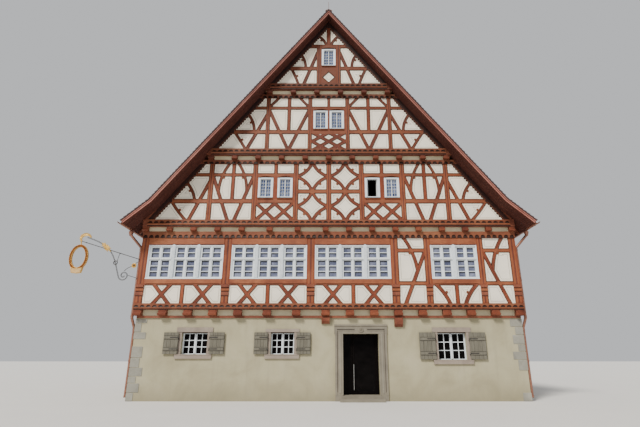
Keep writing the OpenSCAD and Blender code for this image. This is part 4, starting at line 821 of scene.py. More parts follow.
def upper_window_parts():
    """Sashes, fluted mullions, drips and ledges of the timber storey's windows, with painted shadows on the
    panes
    """
    sashes, mullions, drips, shadow_strips = Shape(), Shape(), Shape(), Shape()
    for wall, u0, u1, w, z0, z1 in wall_boxes("upper_windows"):
        width, height = u1 - u0, z1 - z0
        lights = 3 if width > WIDE_WINDOW else 2
        transom = height * (1 - TRANSOM_SHARE)
        for column, a, b, row, c, d in transom_cells(width, height, lights, transom):
            side = (0.062, 0.032) if column == 0 else (0.032, 0.062)
            ends = (0.026, 0.032) if row == 0 else (0.026, 0.048)
            casement(sashes, wall, u0 + a, u0 + b, z0 + c, z0 + d, w - 0.016, 1, 3 - row, side + ends, 0.025,
                     shadow_strips)
            if row == 1:
                drips.run(u0 + a - 0.01, u0 + b + 0.01, TRANSOM_LEDGE, wall, (w, z0 + transom))
                drips.run(u0 + a - 0.012, u0 + b + 0.012, HEAD_DRIP, wall, (w, z1 - 0.052))
        for light in range(1, lights):
            u = u0 + light * width / lights
            plate = [(u - 0.066, z0 + 0.02), (u - 0.026, z0 + 0.004), (u, z0 - 0.060),
                     (u + 0.026, z0 + 0.004), (u + 0.066, z0 + 0.02), (u + 0.066, z1 - 0.01),
                     (u + 0.026, z1), (u, z1 + 0.050), (u - 0.026, z1), (u - 0.066, z1 - 0.01)]
            mullions.slab(plate, w - 0.02, w + 0.030, wall)
            for shift, half in ((-0.045, 0.011), (0, 0.016), (0.045, 0.011)):
                a, b = u + shift - half, u + shift + half
                mullions.block(a, b, w + 0.026, w + 0.044, z0 + 0.05, z1 - 0.05, wall)
        mullions.run(u0 + 0.004, u1 - 0.004, WINDOW_LEDGE, wall, (w, z0))
        for a, b in ((u0, u0 + 0.040), (u1 - 0.040, u1)):
            mullions.block(a, b, w - 0.01, w + 0.014, z0 + 0.03, z1, wall)
    sashes.piece("upper_sashes", WHITE, "window_white")
    mullions.piece("upper_mullions", WHITE, "window_white")
    drips.piece("upper_drips", GREY_WHITE, "window_white")
    shadow_strips.piece("upper_pane_shadows", PANE_SHADOW_PAINT, "window_white")


def attic_window_parts():
    """White casings with small paned casements, under low arched heads, with painted shadow under the heads
    and sills
    """
    casings, sashes, heads, head_and_sill_shadows = Shape(), Shape(), Shape(), Shape()
    side, foot, head, stile = 0.064, 0.046, 0.060, 0.030
    rise, steps = 0.040, 10
    for wall, u0, u1, w, z0, z1 in wall_boxes("attic_windows"):
        back, middle, face = w - 0.060, (u0 + u1) / 2, w + FRAME_BACK
        low, high = z0 + foot, z1 - head
        casings.frame(u0, u1, z0, z1, (side, side, foot, head), back, w + 0.004, wall, 0.006)
        for a, b in ((u0 - 0.034, u0 + 0.050), (u1 - 0.050, u1 + 0.034)):
            casings.block(a, b, w, face + 0.014, z0 - 0.004, z1 + 0.012, wall, 0.005)
        casings.block(u0 + 0.050, u1 - 0.050, w, face + 0.014, z1 - 0.040, z1 + 0.012, wall, 0.005)
        sashes.run(u0 + side - 0.012, u1 - side + 0.012, ATTIC_DRIP, wall, (w, high))
        in_attic_1 = wall == "front" and abs(z0 - ATTIC_Z[0] - ATTIC_WINDOW_Z) < 0.1
        if in_attic_1 and abs(u0 - OPEN_WINDOW_U) < 0.25:
            # Both leaves stand open inwards, so that each shows its edge
            for a, b in ((u0 + side + 0.002, u0 + side + 0.028), (u1 - side - 0.028, u1 - side - 0.002)):
                for near, far, c, d in ((0, 0.016, low, high), (0.146, 0.162, low, high),
                                        (0.016, 0.146, low, low + 0.02), (0.016, 0.146, high - 0.02, high)):
                    sashes.block(a, b, back - far, back - near, c, d, wall, 0.002)
        else:
            sashes.block(middle - stile / 2, middle + stile / 2, back + 0.01, w - 0.008, low, high, wall)
            for a, b in ((u0 + side, middle - stile / 2), (middle + stile / 2, u1 - side)):
                casement(sashes, wall, a, b, low, high, w - 0.016, 2, 5, (0.007,) * 4, 0.010)
        arch = []
        for i in range(steps + 1):
            crown = rise * 4 * i / steps * (1 - i / steps)
            arch.append((u0 - 0.030 + (u1 - u0 + 0.060) * i / steps, z1 + 0.024 + crown))
        foot_line = [(u1 + 0.030, z1 - 0.004), (u0 - 0.030, z1 - 0.004)]
        # Dark plates under the arched head and under the sill: painted shadow
        head_and_sill_shadows.slab(arch + foot_line, face - 0.02, face + 0.010, wall)
        head_and_sill_shadows.block(u0 - 0.030, u1 + 0.030, face - 0.02, face + 0.012, z0 - 0.034, z0 + 0.002, wall, 0.002)
        heads.loft([[(u, face, z), (u, face + 0.046, z), (u, face + 0.046, z + 0.016), (u, face, z + 0.026)]
                    for u, z in arch], wall)
        heads.run(u0 - 0.035, u1 + 0.035, ATTIC_SILL, wall, (face, z0))
    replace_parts(casings.piece("attic_casings", WHITE, "window_white"), "attic_windows")
    sashes.piece("attic_sashes", GREY_WHITE, "window_white")
    heads.piece("attic_window_heads", OXBLOOD_LIGHT, "timber")
    head_and_sill_shadows.piece("attic_window_shadows", SHADOW_PAINT, "timber")


def stone_window_parts():
    """Casements of the stone floor, two by three panes each, in thin white frames"""
    frames, bars = Shape(), Shape()
    side, foot, head, stile = 0.048, 0.024, 0.052, 0.086
    for wall, u0, u1, w, z0, z1 in wall_boxes("stone_floor_windows"):
        middle, back = (u0 + u1) / 2, w - 0.060
        frames.frame(u0, u1, z0, z1, (side, side, foot, head), back, w, wall, 0.006)
        frames.block(middle - stile / 2, middle + stile / 2, back, w, z0, z1, wall, 0.006)
        frames.block(middle - 0.016, middle + 0.016, w - 0.01, w + 0.014, z0 + 0.03, z1 - 0.06, wall, 0.005)
        for a, b in ((u0 + side, middle - stile / 2), (middle + stile / 2, u1 - side)):
            casement(bars, wall, a, b, z0 + foot, z1 - head, w - 0.012, 2, 3, (0.004,) * 4, 0.027)
    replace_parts(frames.piece("stone_floor_frames", WHITE, "window_white"), "stone_floor_windows")
    bars.piece("stone_floor_sashes", WHITE, "window_white")


def frieze(boards, hollows, wall, u0, u1, face, top, band, niche):
    """Board over a row of round niches; its foot is cut in arches in front of a slope painted near black as
    the shade in the niches
    """
    count = max(round((u1 - u0) / NICHE_PITCH), 1)
    pitch = (u1 - u0) / count
    radius = pitch * 0.39
    foot, back, out = top - band - niche, face - 0.002, face + 0.036

    def section(u, crown):
        z = foot + crown * (niche - 0.006)
        return [(u, back, z), (u, out, z), (u, out, top), (u, back, top)]

    rings = [section(u0, 0)]
    steps = 8
    for i in range(count):
        middle = u0 + (i + 0.5) * pitch
        for k in range(steps + 1):
            turn = math.pi * k / steps
            crown = math.sin(turn) ** 0.8 if 0 < k < steps else 0
            rings.append(section(middle - radius * math.cos(turn), crown))
    rings.append(section(u1, 0))
    boards.loft(rings, wall)
    # Slope behind the arches in near black paint: painted shade inside the niches
    low, high = foot + 0.001, foot + niche
    slope = [(back, low), (out - 0.004, low), (face + 0.002, high), (back, high)]
    hollows.run(u0 + 0.002, u1 - 0.002, slope, wall)


def friezes():
    """Carved sills and plates of the gables, with the rolls and hollows under their niches; the niches'
    slopes and the hollows are painted near black as shade
    """
    boards, niches, rolls, hollows = Shape(), Shape(), Shape(), Shape()
    turns = [math.radians(a) for a in (90, 60, 30, 0, -30, -60, -90)]

    def sill(wall, half, face, top, low):
        """Sill from its top down to low: band, niches, roll, and a hollow painted near black as shade"""
        frieze(boards, niches, wall, -half, half, face, top - 0.003, 0.055, 0.085)
        r = (top - 0.143 - low) * 0.30
        z = top - 0.146 - r
        front = [(face + 0.008 + r * math.cos(t), z + r * math.sin(t)) for t in turns]
        rolls.run(-half, half, [(face - 0.002, z + r)] + front + [(face - 0.002, z - r)], wall)
        # Near black strip under the roll: painted shade
        hollows.block(-half, half, face - 0.004, face + 0.0165, low + 0.002, z - r - 0.001, wall, 0.001)

    for wall in GABLES:
        sill(wall, HALF_F, FACES[0] + PROUD, UPPER_Z, SILL_Z)
        plate_top = UPPER_TOP + TOP_PLATE_H - 0.003
        frieze(boards, niches, wall, -HALF_F, HALF_F, FACES[0] + PROUD, plate_top, 0.120, 0.130)
        for k, base in enumerate(ATTIC_Z):
            sill(wall, reach(base) - 0.02, FACES[k + 1] + PROUD, base, base - ATTIC_SILL_H)
            if k < 2:
                top = base + ATTIC_H + ATTIC_PLATE_H
                half = reach(top) - 0.02
                frieze(boards, niches, wall, -half, half, FACES[k + 1] + PROUD, top - 0.003, 0.060, 0.100)
    boards.piece("niche_friezes", FRIEZE_WOOD, "timber")
    niches.piece("niche_hollows", NICHE_SHADE_PAINT, "timber")
    rolls.piece("sill_rolls", OXBLOOD_LIGHT, "timber")
    hollows.piece("sill_hollows", SHADOW_PAINT, "timber")


def beam_heads():
    """Carved ends of the floor beams, a narrow neck over a rounded lip"""
    heads = Shape()
    steps = ((-0.01, 0.96, 0.018), (0.03, 1.02, 0.040), (0.12, 1.04, 0.050), (0.36, 1.04, 0.054),
             (0.45, 1.01, 0.034), (0.50, 0.99, 0.012), (0.53, 0.82, 0.010),
             (0.97, 0.80, 0.016), (1.0, 0.76, 0.004))
    for low, high in solids("floor_beams"):
        z0, h, middle, half = low.z, high.z - low.z, (low.x + high.x) / 2, (high.x - low.x) / 2
        face = high.y - HALF_D - HEAD_OUT
        for wall in GABLES:
            rings = []
            for share, wide, out in steps:
                z, a, b, c = z0 + share * h, middle - half * wide, middle + half * wide, 0.012
                rings.append([(a, face - 0.03, z), (b, face - 0.03, z), (b, face + out - c, z),
                              (b - c, face + out, z), (a + c, face + out, z), (a, face + out - c, z)])
            heads.loft(rings, wall)
    heads.piece("beam_heads", BEAM_WOOD, "timber")


def roof_lines():
    """The slope's face as (x, z) corners of its straight and its flatter part, ridge first"""
    return [(0.0, RIDGE_Z), (KICK_X, roof_z(KICK_X)), (EAVE_X, roof_z(EAVE_X))]


def roof_tiles():
    """Plain clay tiles in courses, broken joint, with rounded lower edges"""
    corners = roof_lines()
    spans = [math.dist(corners[i], corners[i + 1]) for i in range(2)]
    total = sum(spans)
    courses = int(total / TILE_COURSE)
    y_end = VERGE_Y - 0.045
    count = round(2 * y_end / TILE_W)
    pitch = 2 * y_end / count

    def point(along):
        """Point of the slope's face at a distance from the ridge"""
        part = 0 if along < spans[0] else 1
        a, b = corners[part], corners[part + 1]
        share = (along - part * spans[0]) / spans[part]
        return Vector((a[0] + (b[0] - a[0]) * share, a[1] + (b[1] - a[1]) * share))

    for side, name in ((1, "right"), (-1, "left")):
        lower, upper = Shape(), Shape()
        for course in range(courses):
            shape = lower if course < courses / 2 else upper
            foot = total - course * TILE_COURSE
            low, high = point(foot), point(max(foot - TILE_LENGTH, 0.02))
            down = (low - high).normalized()
            normal = left_of(down)
            offset = 0.5 * (course % 2)
            for i in range(count + (course % 2)):
                a = -y_end + (i - offset) * pitch + 0.002
                b = a + pitch - 0.004
                a, b = max(a, -y_end), min(b, y_end)
                lift = rng.uniform(0.0, 0.003)
                slip = rng.uniform(-0.004, 0.004)
                edge = [(a + (b - a) * share, low - down * (drop + slip)) for share, drop in TILE_EDGE]
                rings = []
                for out, head_out in ((TILE_T + lift, 0.001), (2 * TILE_T + lift, TILE_T * 0.4)):
                    head = high + normal * head_out
                    ring = [(y, p + normal * out) for y, p in edge] + [(b, head), (a, head)]
                    rings.append([(side * p.x, y, p.y) for y, p in ring])
                shape.loft(rings)
        lower.piece("tiles_%s_lower" % name, TILES, "roof_tiles")
        upper.piece("tiles_%s_upper" % name, TILES, "roof_tiles")


def ridge_tiles():
    """Half round tiles along the ridge, each lapped over the next"""
    shape = Shape()
    end, top, radius, steps = VERGE_Y - 0.02, RIDGE_Z + 0.060, 0.150, 8
    count = round(2 * end / RIDGE_TILE)
    pitch = 2 * end / count
    half_turn = math.radians(48)
    for i in range(count):
        y0 = -end + i * pitch
        rings = []
        for y, grow in ((y0, 0.014), (y0 + 0.03, 0.010), (y0 + pitch + 0.02, 0.0)):
            ring = []
            for k in range(steps + 1):
                turn = math.radians(-48 + 96 * k / steps)
                ring.append(((radius + grow) * math.sin(turn) / math.sin(half_turn) * 0.92, y,
                             top + grow - 0.20 * (1 - math.cos(turn))))
            inner = [(x * 0.90, y, z - 0.020) for x, y, z in reversed(ring)]
            rings.append(ring + inner)
        shape.loft(rings)
    shape.piece("ridge_tiles", TILES, "roof_tiles")


def band_on_slope(shape, gable, side, depth0, depth1, y0, y1):
    """Board under the roof's face between two depths, from y0 to y1 outwards, following the kick"""
    sign = -1 if gable == "front" else 1
    rings = []
    for x, pitch in ((0.0, None), (KICK_X, (ROOF_PITCH + KICK_PITCH) / 2), (EAVE_X, KICK_PITCH)):
        ring = []
        for y, depth in ((y0, depth0), (y1, depth0), (y1, depth1), (y0, depth1)):
            if pitch is None:
                ring.append((side * x, sign * y, roof_z(x) - depth / math.cos(ROOF_PITCH)))
            else:
                in_x, in_z = x - depth * math.sin(pitch), roof_z(x) - depth * math.cos(pitch)
                ring.append((side * in_x, sign * y, in_z))
        rings.append(ring)
    shape.loft(rings)


def verges():
    """Mouldings, boarded soffits and rafter feet of the roof's overhangs"""
    bands, grooves, soffits, rafters = Shape(), Shape(), Shape(), Shape()
    inner = HALF_D + FACES[0] + 0.020
    board, pitch = 0.138, 0.142
    for gable in GABLES:
        for side in (1, -1):
            for shape, depth0, depth1, out in ((bands, 0.030, 0.060, 0.030), (grooves, 0.058, 0.084, 0.006),
                                               (bands, 0.082, 0.124, 0.020)):
                band_on_slope(shape, gable, side, depth0, depth1, VERGE_Y - 0.002, VERGE_Y + out)
            y = VERGE_Y
            row = 0
            while y > inner + 0.03:
                low_face = 0.135 - 0.003 * (row % 2)
                band_on_slope(soffits, gable, side, 0.1205, low_face, max(y - board, inner), y)
                y -= pitch
                row += 1

    def under_eave(shape, side, outline, y0, y1):
        """Solid from y0 to y1; its outline holds x and the depth under the roof's face"""
        corners = [(x, roof_z(x) - depth * (1 / math.cos(KICK_PITCH))) for x, depth in outline]
        shape.loft([[(side * x, y, z) for x, z in corners] for y in (y0, y1)])

    for side in (1, -1):
        for i in range(3):
            a = HALF_F + 0.006 + i * 0.152
            b = a + 0.147
            under_eave(soffits, side, ((a, 0.1205), (b, 0.1205), (b, 0.134), (a, 0.134)), -inner, inner)
        for i in range(RAFTERS):
            y = -RAFTER_END + i * 2 * RAFTER_END / (RAFTERS - 1)
            outline = ((HALF_F, 0.130), (EAVE_X - 0.10, 0.130), (EAVE_X - 0.13, 0.205), (HALF_F, 0.235))
            under_eave(rafters, side, outline, y - 0.055, y + 0.055)
    bands.piece("verge_bands", VERGE, "verge_paint")
    # The groove between the verge's bands gets dark paint: painted shade
    grooves.piece("verge_grooves", OXBLOOD_DARK, "timber")
    soffits.piece("soffit_boards", SOFFIT, "timber")
    rafters.piece("rafter_feet", OXBLOOD, "timber")


def spiral(centre, radius, start, turns, points):
    """Points of a spiral in the bracket's plane, from the outside inwards"""
    found = []
    for i in range(points):
        share = i / (points - 1)
        r = radius * (1 - (1 - 0.18) * share)
        a = start + turns * math.tau * share
        found.append((centre[0] + r * math.cos(a), SIGN_Y, centre[1] + r * math.sin(a)))
    return found


def oval(centre, half_w, half_h, count, y=SIGN_Y):
    """Points once round an oval that stands across the bracket's plane, back to the first"""
    turns = [math.tau * i / count for i in range(count + 1)]
    return [(centre[0] + half_w * math.cos(a), y, centre[1] + half_h * math.sin(a)) for a in turns]


def curve_through(points):
    """Smooth line through (x, z) points in the bracket's plane"""
    pts = [Vector(p) for p in points]
    found = []
    steps = 6
    for i in range(len(pts) - 1):
        a, b = pts[max(i - 1, 0)], pts[i]
        c, d = pts[i + 1], pts[min(i + 2, len(pts) - 1)]
        for k in range(steps):
            t = k / steps
            q = 0.5 * (2 * b + (c - a) * t + (2 * a - 5 * b + 4 * c - d) * t * t
                       + (3 * b - a - 3 * c + d) * t ** 3)
            found.append((q.x, SIGN_Y, q.y))
    found.append((pts[-1].x, SIGN_Y, pts[-1].y))
    return found


def leaf(shape, at, angle, length, width):
    """Curled metal leaf in the bracket's plane, from its root"""
    rings = []
    nx, nz = -math.sin(angle), math.cos(angle)
    for i in range(7):
        t = i / 6
        half = width * math.sin(math.pi * min(t * 0.9 + 0.08, 1)) / 2
        bend = 0.02 * math.sin(math.pi * t)
        x, z = at[0] + length * t * math.cos(angle), at[1] + length * t * math.sin(angle)
        rings.append([(x - nx * half, SIGN_Y - 0.004, z - nz * half), (x, SIGN_Y - 0.010 - bend, z),
                      (x + nx * half, SIGN_Y - 0.004, z + nz * half), (x, SIGN_Y + 0.006, z)])
    shape.loft(rings)


class Storey:
    """Lays thin boards, each its own tone, over the timbers of a storey's face.

    Points are (x, z), z above the storey's base; side mirrors them. roof is a convex outline
    on the wall that cuts all boards off.
    """

    shapes = {kind: Shape() for kind in ("post", "rail", "brace", "fillet", "groove", "rake")}
    tips = []
    lifts = {"post": 0.0075, "rail": 0.0055, "fillet": 0.0140, "groove": 0.0090, "rake": 0.0095}

    def __init__(self, wall, face, base, roof=None):
        self.wall, self.face, self.base, self.roof = wall, face, base, roof
        self.side = 1
        self.count = 0

    def place(self, points):
        """Points of the storey on its wall, counter-clockwise"""
        moved = [Vector((self.side * x, self.base + z)) for x, z in points]
        return moved if winding(moved) > 0 else moved[::-1]

    def board(self, kind, outline, fence=None, proud=0.0):
        """Board of an outline that a convex fence and the roof cut off, where enough of it is left"""
        points = self.place(outline)
        if fence is not None:
            points = clipped(points, self.place(fence))
        if self.roof is not None:
            points = clipped(points, self.roof)
        if len(points) < 3 or winding(points) < 0.004:
            return
        self.count += 1
        lift = self.lifts.get(kind, 0.0025 + 0.0006 * (self.count % 4))
        low, top = self.face + proud - 0.003, self.face + proud + lift
        rings = [[(p.x, w, p.y) for p in points] for w in (low, top - 0.0020)]
        inner = offset_loop(points, 0.005)
        if inner is not None and len(inner) == len(points):
            rings.append([(p.x, top, p.y) for p in inner])
        self.shapes[kind].loft(rings, self.wall)

    def box(self, kind, x0, x1, z0, z1, proud=0.0):
        """Board with four square corners"""
        self.board(kind, [(x0, z0), (x1, z0), (x1, z1), (x0, z1)], None, proud)

    def post(self, x, z0, z1, width, carved=True):
        """Post; a carved one has a groove between two fillets, the groove darker as painted shade"""
        self.box("post", x - width / 2, x + width / 2, z0, z1)
        if carved:
            half = width / 2
            # The groove's board gets darker paint than the fillets: painted shade in the groove
            for kind, a, b in (("fillet", -0.66, -0.26), ("fillet", 0.26, 0.66), ("groove", -0.16, 0.16)):
                self.box(kind, x + a * half, x + b * half, z0 + 0.02, z1 - 0.02)

    def rail(self, x0, x1, z, height, proud=0.0):
        """Rail over z"""
        self.box("rail", x0, x1, z, z + height, proud)

    def attic_rails(self, x0, x1):
        """Rails under and over the windows of the two lower attics"""
        self.rail(x0, x1, ATTIC_RAIL_Z, ATTIC_RAIL_H)
        self.rail(x0, x1, HIGH_RAIL_Z, HIGH_RAIL_H)

    def brace(self, points, width, x0, x1, z0, z1, spur=0):
        """Brace along points, cut off by the panel from x0 to x1 and z0 to z1"""
        self.board("brace", strip(points, width, spur), [(x0, z0), (x1, z0), (x1, z1), (x0, z1)])
        if spur:
            i = len(points) // 2
            along = (Vector(points[i + 1]) - Vector(points[i - 1])).normalized()
            tip = Vector(points[i]) + left_of(along) * spur * (width / 2 + SPUR_H * 0.6)
            self.tips.append((self.wall, self.face, self.side * tip.x, self.base + tip.y))

    def cross(self, x0, x1, height, run=None):
        """Crossed braces on the storey's base; run is how far each goes sideways"""
        middle, half = (x0 + x1) / 2, abs(x1 - x0 if run is None else run) / 2
        for s in (1, -1):
            self.brace([(middle - s * half, 0), (middle + s * half, height)], BRACE_W, x0, x1, 0, height)

    def braces_down(self, x0, x1, z, apart):
        """Two straight braces from the posts at z down to feet that stand apart"""
        middle = (x0 + x1) / 2
        for x, foot in ((x0, middle - apart / 2), (x1, middle + apart / 2)):
            self.brace([(x, z), (foot, 0)], BRACE_W, x0, x1, 0, z + BRACE_W)

    def star(self, x0, x1, z0, z1):
        """Four curved braces that cut the corners off a panel"""
        middle = ((x0 + x1) / 2, (z0 + z1) / 2)
        sides = [Vector(p) for p in ((x0, middle[1]), (middle[0], z1), (x1, middle[1]), (middle[0], z0))]
        corners = [Vector(p) for p in ((x0, z1), (x1, z1), (x1, z0), (x0, z0))]
        for i, corner in enumerate(corners):
            ends = [p + (corner - p).normalized() * 0.040 for p in (sides[i], sides[(i + 1) % 4])]
            self.brace(curved(*ends, -0.070), BRACE_W - 0.010, x0, x1, z0, z1, 1)

    def corner_braces(self, x, foot, over, under, sag):
        """Braces between an outer post and the roof"""
        area = (x, HALF_F, 0, ATTIC_H)
        self.brace([(x, 1.480), (x + foot, 0)], BRACE_W, *area)
        top = ATTIC_RAIL_Z + ATTIC_RAIL_H
        self.brace(curved((x + over[0], 1.570), (x + over[1], top), -0.060), BOW_W, *area, 1)
        self.brace(curved((x + under[0], ATTIC_RAIL_Z + 0.060), (x + under[1], 0), sag), BOW_W, *area, -1)

    def window_row(self, x0, x1, windows):
        """Boards round attic windows between two posts; windows are (left, right)"""
        sill, head = ATTIC_RAIL_Z + ATTIC_RAIL_H, ATTIC_WINDOW_Z + ATTIC_WINDOW_H
        edges = [x0] + [x for window in windows for x in window] + [x1]
        for a, b in zip(edges[::2], edges[1::2]):
            if b - a > 0.01:
                self.box("post", a, b, sill, HIGH_RAIL_Z)
        for a, b in windows:
            self.box("rail", a, b, sill, ATTIC_WINDOW_Z)
            self.box("rail", a, b, head, HIGH_RAIL_Z)

    def rakes(self, height):
        """Near black boards painted as the shade on the timbers under the roof, with a row of small teeth"""
        run = Vector((math.cos(ROOF_PITCH), -math.sin(ROOF_PITCH)))
        inward = -left_of(run)
        head = Vector((0, RIDGE_Z)) + inward * ROOF_T
        fence = self.place([(0, 0), (HALF_F, 0), (HALF_F, height), (0, height)])
        wide = RAKE_DEPTH - ROOF_T
        start, end = (RIDGE_Z - self.base - height) / math.sin(ROOF_PITCH) - 0.5, 12.0
        roof, self.roof = self.roof, None
        for a, b, c, d in ((start, end, 0.002, wide * 0.52), (start, end, wide * 0.56, wide)):
            band = [head + run * a + inward * c, head + run * b + inward * c, head + run * b + inward * d,
                    head + run * a + inward * d]
            points = clipped([Vector((self.side * p.x, p.y)) for p in band][::-self.side], fence)
            if len(points) > 2:
                self.board("rake", [(self.side * p.x, p.y - self.base) for p in points])
        at = max(start, 0.4)
        while at < end:
            corner = head + run * at + inward * (wide - 0.006)
            tooth = [corner, corner + run * 0.060, corner + run * 0.060 + inward * 0.038,
                     corner + inward * 0.038]
            if all(self.base + 0.03 < p.y < self.base + height - 0.01 for p in tooth):
                self.board("rake", [(p.x, p.y - self.base) for p in tooth])
            at += 0.125
        self.roof = roof


def gable_bays():
    """Windows and posts of the timber storey of a gable, as (left, right)"""
    windows = windows_on("front")
    ends = [-HALF_F] + [x for window in windows for x in window] + [HALF_F]
    posts = list(zip(ends[0:6:2], ends[1:6:2]))
    posts += [(ends[6], ends[6] + MAIN_POST), (ends[7] - SLIM_POST, ends[7]), (ends[8], ends[8] + SLIM_POST),
              (ends[9] - CORNER_POST, ends[9])]
    return windows, posts


def upper_storey(wall):
    """Boards on the storey with the long windows; on the gables two braced bays stand among them"""
    gable = wall in GABLES
    s = Storey(wall, FACES[0] if gable else SIDE_FACE, UPPER_Z)
    head = WINDOW_Z + WINDOW_H
    if gable:
        windows, posts = gable_bays()
        bays = windows
        for foot, top, turn in ((posts[3][1], posts[4][0], 1), (posts[6][0], posts[5][1], -1)):
            area = (min(foot, top), max(foot, top), 0, UPPER_H)
            for z in (SILL_RAIL_Z, BAY_RAIL_Z):
                s.rail(area[0], area[1], z, LOW_RAIL_H)
            s.brace([(top + turn * 0.020, BAY_RAIL_Z), (foot + turn * 0.200, 0)], BRACE_W, *area)
            bow = curved((foot + turn * 0.240, UPPER_H), (foot + turn * 0.690, 2 * SILL_RAIL_Z), turn * 0.070)
            s.brace(bow, BOW_W + 0.020, *area, -turn)
    else:
        windows = windows_on(wall)
        count, length = len(windows), HALF_D + FACES[0] - TIMBER_T
        pitch = 2 * length / count
        posts = [(-length, CORNER_POST - TIMBER_T - length), (length - CORNER_POST + TIMBER_T, length)]
        for i in range(1, count):
            middle = i * pitch - length
            posts.append((middle - MAIN_POST / 2, middle + MAIN_POST / 2))
        half = (pitch - MAIN_POST) / 2
        bays = [((a + b) / 2 - half, (a + b) / 2 + half) for a, b in windows]
    spans = ((0, SILL_RAIL_Z - CONSOLE_DROP), (SILL_RAIL_Z + 0.025, UPPER_H)) if gable else ((0, UPPER_H),)
    for a, b in posts:
        for z0, z1 in spans:
            s.post((a + b) / 2, z0, z1, b - a)
    low, high, proud = (0.068, 0.024, PROUD) if gable else (0, 0, 0)
    for (a, b), (x0, x1) in zip(windows, bays):
        middle = (a + b) / 2
        s.rail(x0, x1, SILL_RAIL_Z + low, SILL_RAIL_H - low, proud)
        s.rail(x0, x1, head + high, UPPER_H - head - high, proud)
        s.post(middle, 0, SILL_RAIL_Z, SMALL_POST, False)
        if gable and b - a < WIDE_WINDOW:
            for turn in (-1, 1):
                bow = curved((middle + turn * 0.725, SILL_RAIL_Z), (middle + turn * 0.290, 0), -turn * 0.040)
                s.brace(bow, BRACE_W, a, b, 0, SILL_RAIL_Z, -turn)
        else:
            for near, far in ((middle - SMALL_POST / 2, x0), (middle + SMALL_POST / 2, x1)):
                s.cross(min(near, far), max(near, far), SILL_RAIL_Z, CROSS_RUN)
        if not gable:
            for x in (a - SMALL_POST / 2, b + SMALL_POST / 2):
                s.post(x, WINDOW_Z, head, SMALL_POST, False)


def attic_storeys(wall):
    """Boards on the three attics, the right half of each and its mirror image"""
    ridge = RIDGE_Z - RAKE_DEPTH / math.cos(ROOF_PITCH)
    for k, half_drawing in enumerate((attic_1, attic_2, attic_3)):
        low = ATTIC_Z[k]
        half = (ridge - low) / math.tan(ROOF_PITCH)
        roof = [Vector((-half, low)), Vector((half, low)), Vector((0, ridge))]
        storey = Storey(wall, FACES[k + 1], low, roof)
        for storey.side in (1, -1):
            half_drawing(storey)
            storey.rakes(RIDGE_Z - low if k == 2 else ATTIC_H)


def attic_1(s):
    """Right half of the lowest attic: stars beside the middle post, two windows, and braced bays"""
    half = ATTIC_POST / 2
    middle = (STAR_POST + WINDOW_POST) / 2
    if s.side == 1:
        s.post(0, 0, ATTIC_H, ATTIC_POST)
    for x in (STAR_POST, WINDOW_POST, OUTER_POST):
        s.post(x, 0, ATTIC_H, ATTIC_POST)
    for z0, z1 in ((0, STAR_RAIL_Z), (STAR_RAIL_Z + STAR_RAIL_H, ATTIC_H)):
        s.star(half, STAR_POST - half, z0, z1)
    s.rail(half, STAR_POST - half, STAR_RAIL_Z, STAR_RAIL_H)
    for a, b in ((STAR_POST, WINDOW_POST), (WINDOW_POST, OUTER_POST), (OUTER_POST, HALF_F)):
        s.attic_rails(a + half, b - half)
    s.post(middle, HIGH_RAIL_Z + HIGH_RAIL_H, ATTIC_H, SMALL_POST, False)
    shift = (ATTIC_1_MULLION + ATTIC_WINDOW_W + 0.020) / 2
    s.window_row(STAR_POST + half, WINDOW_POST - half, [
        (middle + t * shift - ATTIC_WINDOW_W / 2, middle + t * shift + ATTIC_WINDOW_W / 2) for t in (-1, 1)
    ])
    for a, b in ((STAR_POST + half, middle), (middle, WINDOW_POST - half)):
        s.cross(a, b, ATTIC_RAIL_Z)
    x0, x1 = WINDOW_POST + half, OUTER_POST - half
    middle = (x0 + x1) / 2
    s.braces_down(x0, x1, HIGH_RAIL_Z - 0.080, 0.270)
    s.post(middle, ATTIC_RAIL_Z + ATTIC_RAIL_H, ATTIC_H, SMALL_POST, False)
    for t in (-1, 1):
        bow = curved((middle + t * 0.200, ATTIC_H), (middle + t * 0.560, 1.180), t * 0.090)
        s.brace(bow, BOW_W, x0, x1, ATTIC_RAIL_Z + ATTIC_RAIL_H, ATTIC_H, -t)
    s.corner_braces(OUTER_POST + half, 0.655, (0.885, 0.500), (1.370, 0.780), 0.025)


def attic_2(s):
    """Right half of the middle attic, whose middle panel holds the diamond lattice"""
    half = ATTIC_2_POST / 2
    inner, outer, gap = ATTIC_2_INNER, ATTIC_2_OUTER, ATTIC_2_WINDOW
    high = HIGH_RAIL_Z + HIGH_RAIL_H
    for x in (inner, outer):
        s.post(x, 0, ATTIC_H, ATTIC_2_POST)
    if s.side == 1:
        x = inner - half
        s.post(0, HIGH_RAIL_Z, ATTIC_H, 0.125, False)
        s.attic_rails(-x, x)
        s.box("post", -gap, gap, ATTIC_RAIL_Z + ATTIC_RAIL_H, HIGH_RAIL_Z)
        lattice = 0.406
        for row in (-1, 0, 1):
            z, rise = ATTIC_RAIL_Z / 2 + row * lattice, x * lattice / 0.684
            for t in (1, -1):
                s.brace([(-x, z - t * rise), (x, z + t * rise)], BRACE_W, -x, x, 0, ATTIC_RAIL_Z)
    s.window_row(gap, inner - half, [(gap, gap + ATTIC_WINDOW_W)])
    for a, b in ((inner, outer), (outer, HALF_F)):
        s.attic_rails(a + half, b - half)
    x0, x1 = inner + half, outer - half
    s.braces_down(x0, x1, HIGH_RAIL_Z - 0.120, 0.060)
    s.post((inner + outer) / 2, ATTIC_RAIL_Z + ATTIC_RAIL_H, ATTIC_H, SMALL_POST, False)
    for x, t in ((x0, 1), (x1, -1)):
        s.brace([(x, high + 0.020), (x + t * 0.330, ATTIC_H)], BOW_W, x0, x1, high - HIGH_RAIL_H / 2, ATTIC_H)
    s.corner_braces(x1 + ATTIC_2_POST, 0.725, (0.725, 0.465), (1.245, 0.785), -0.010)


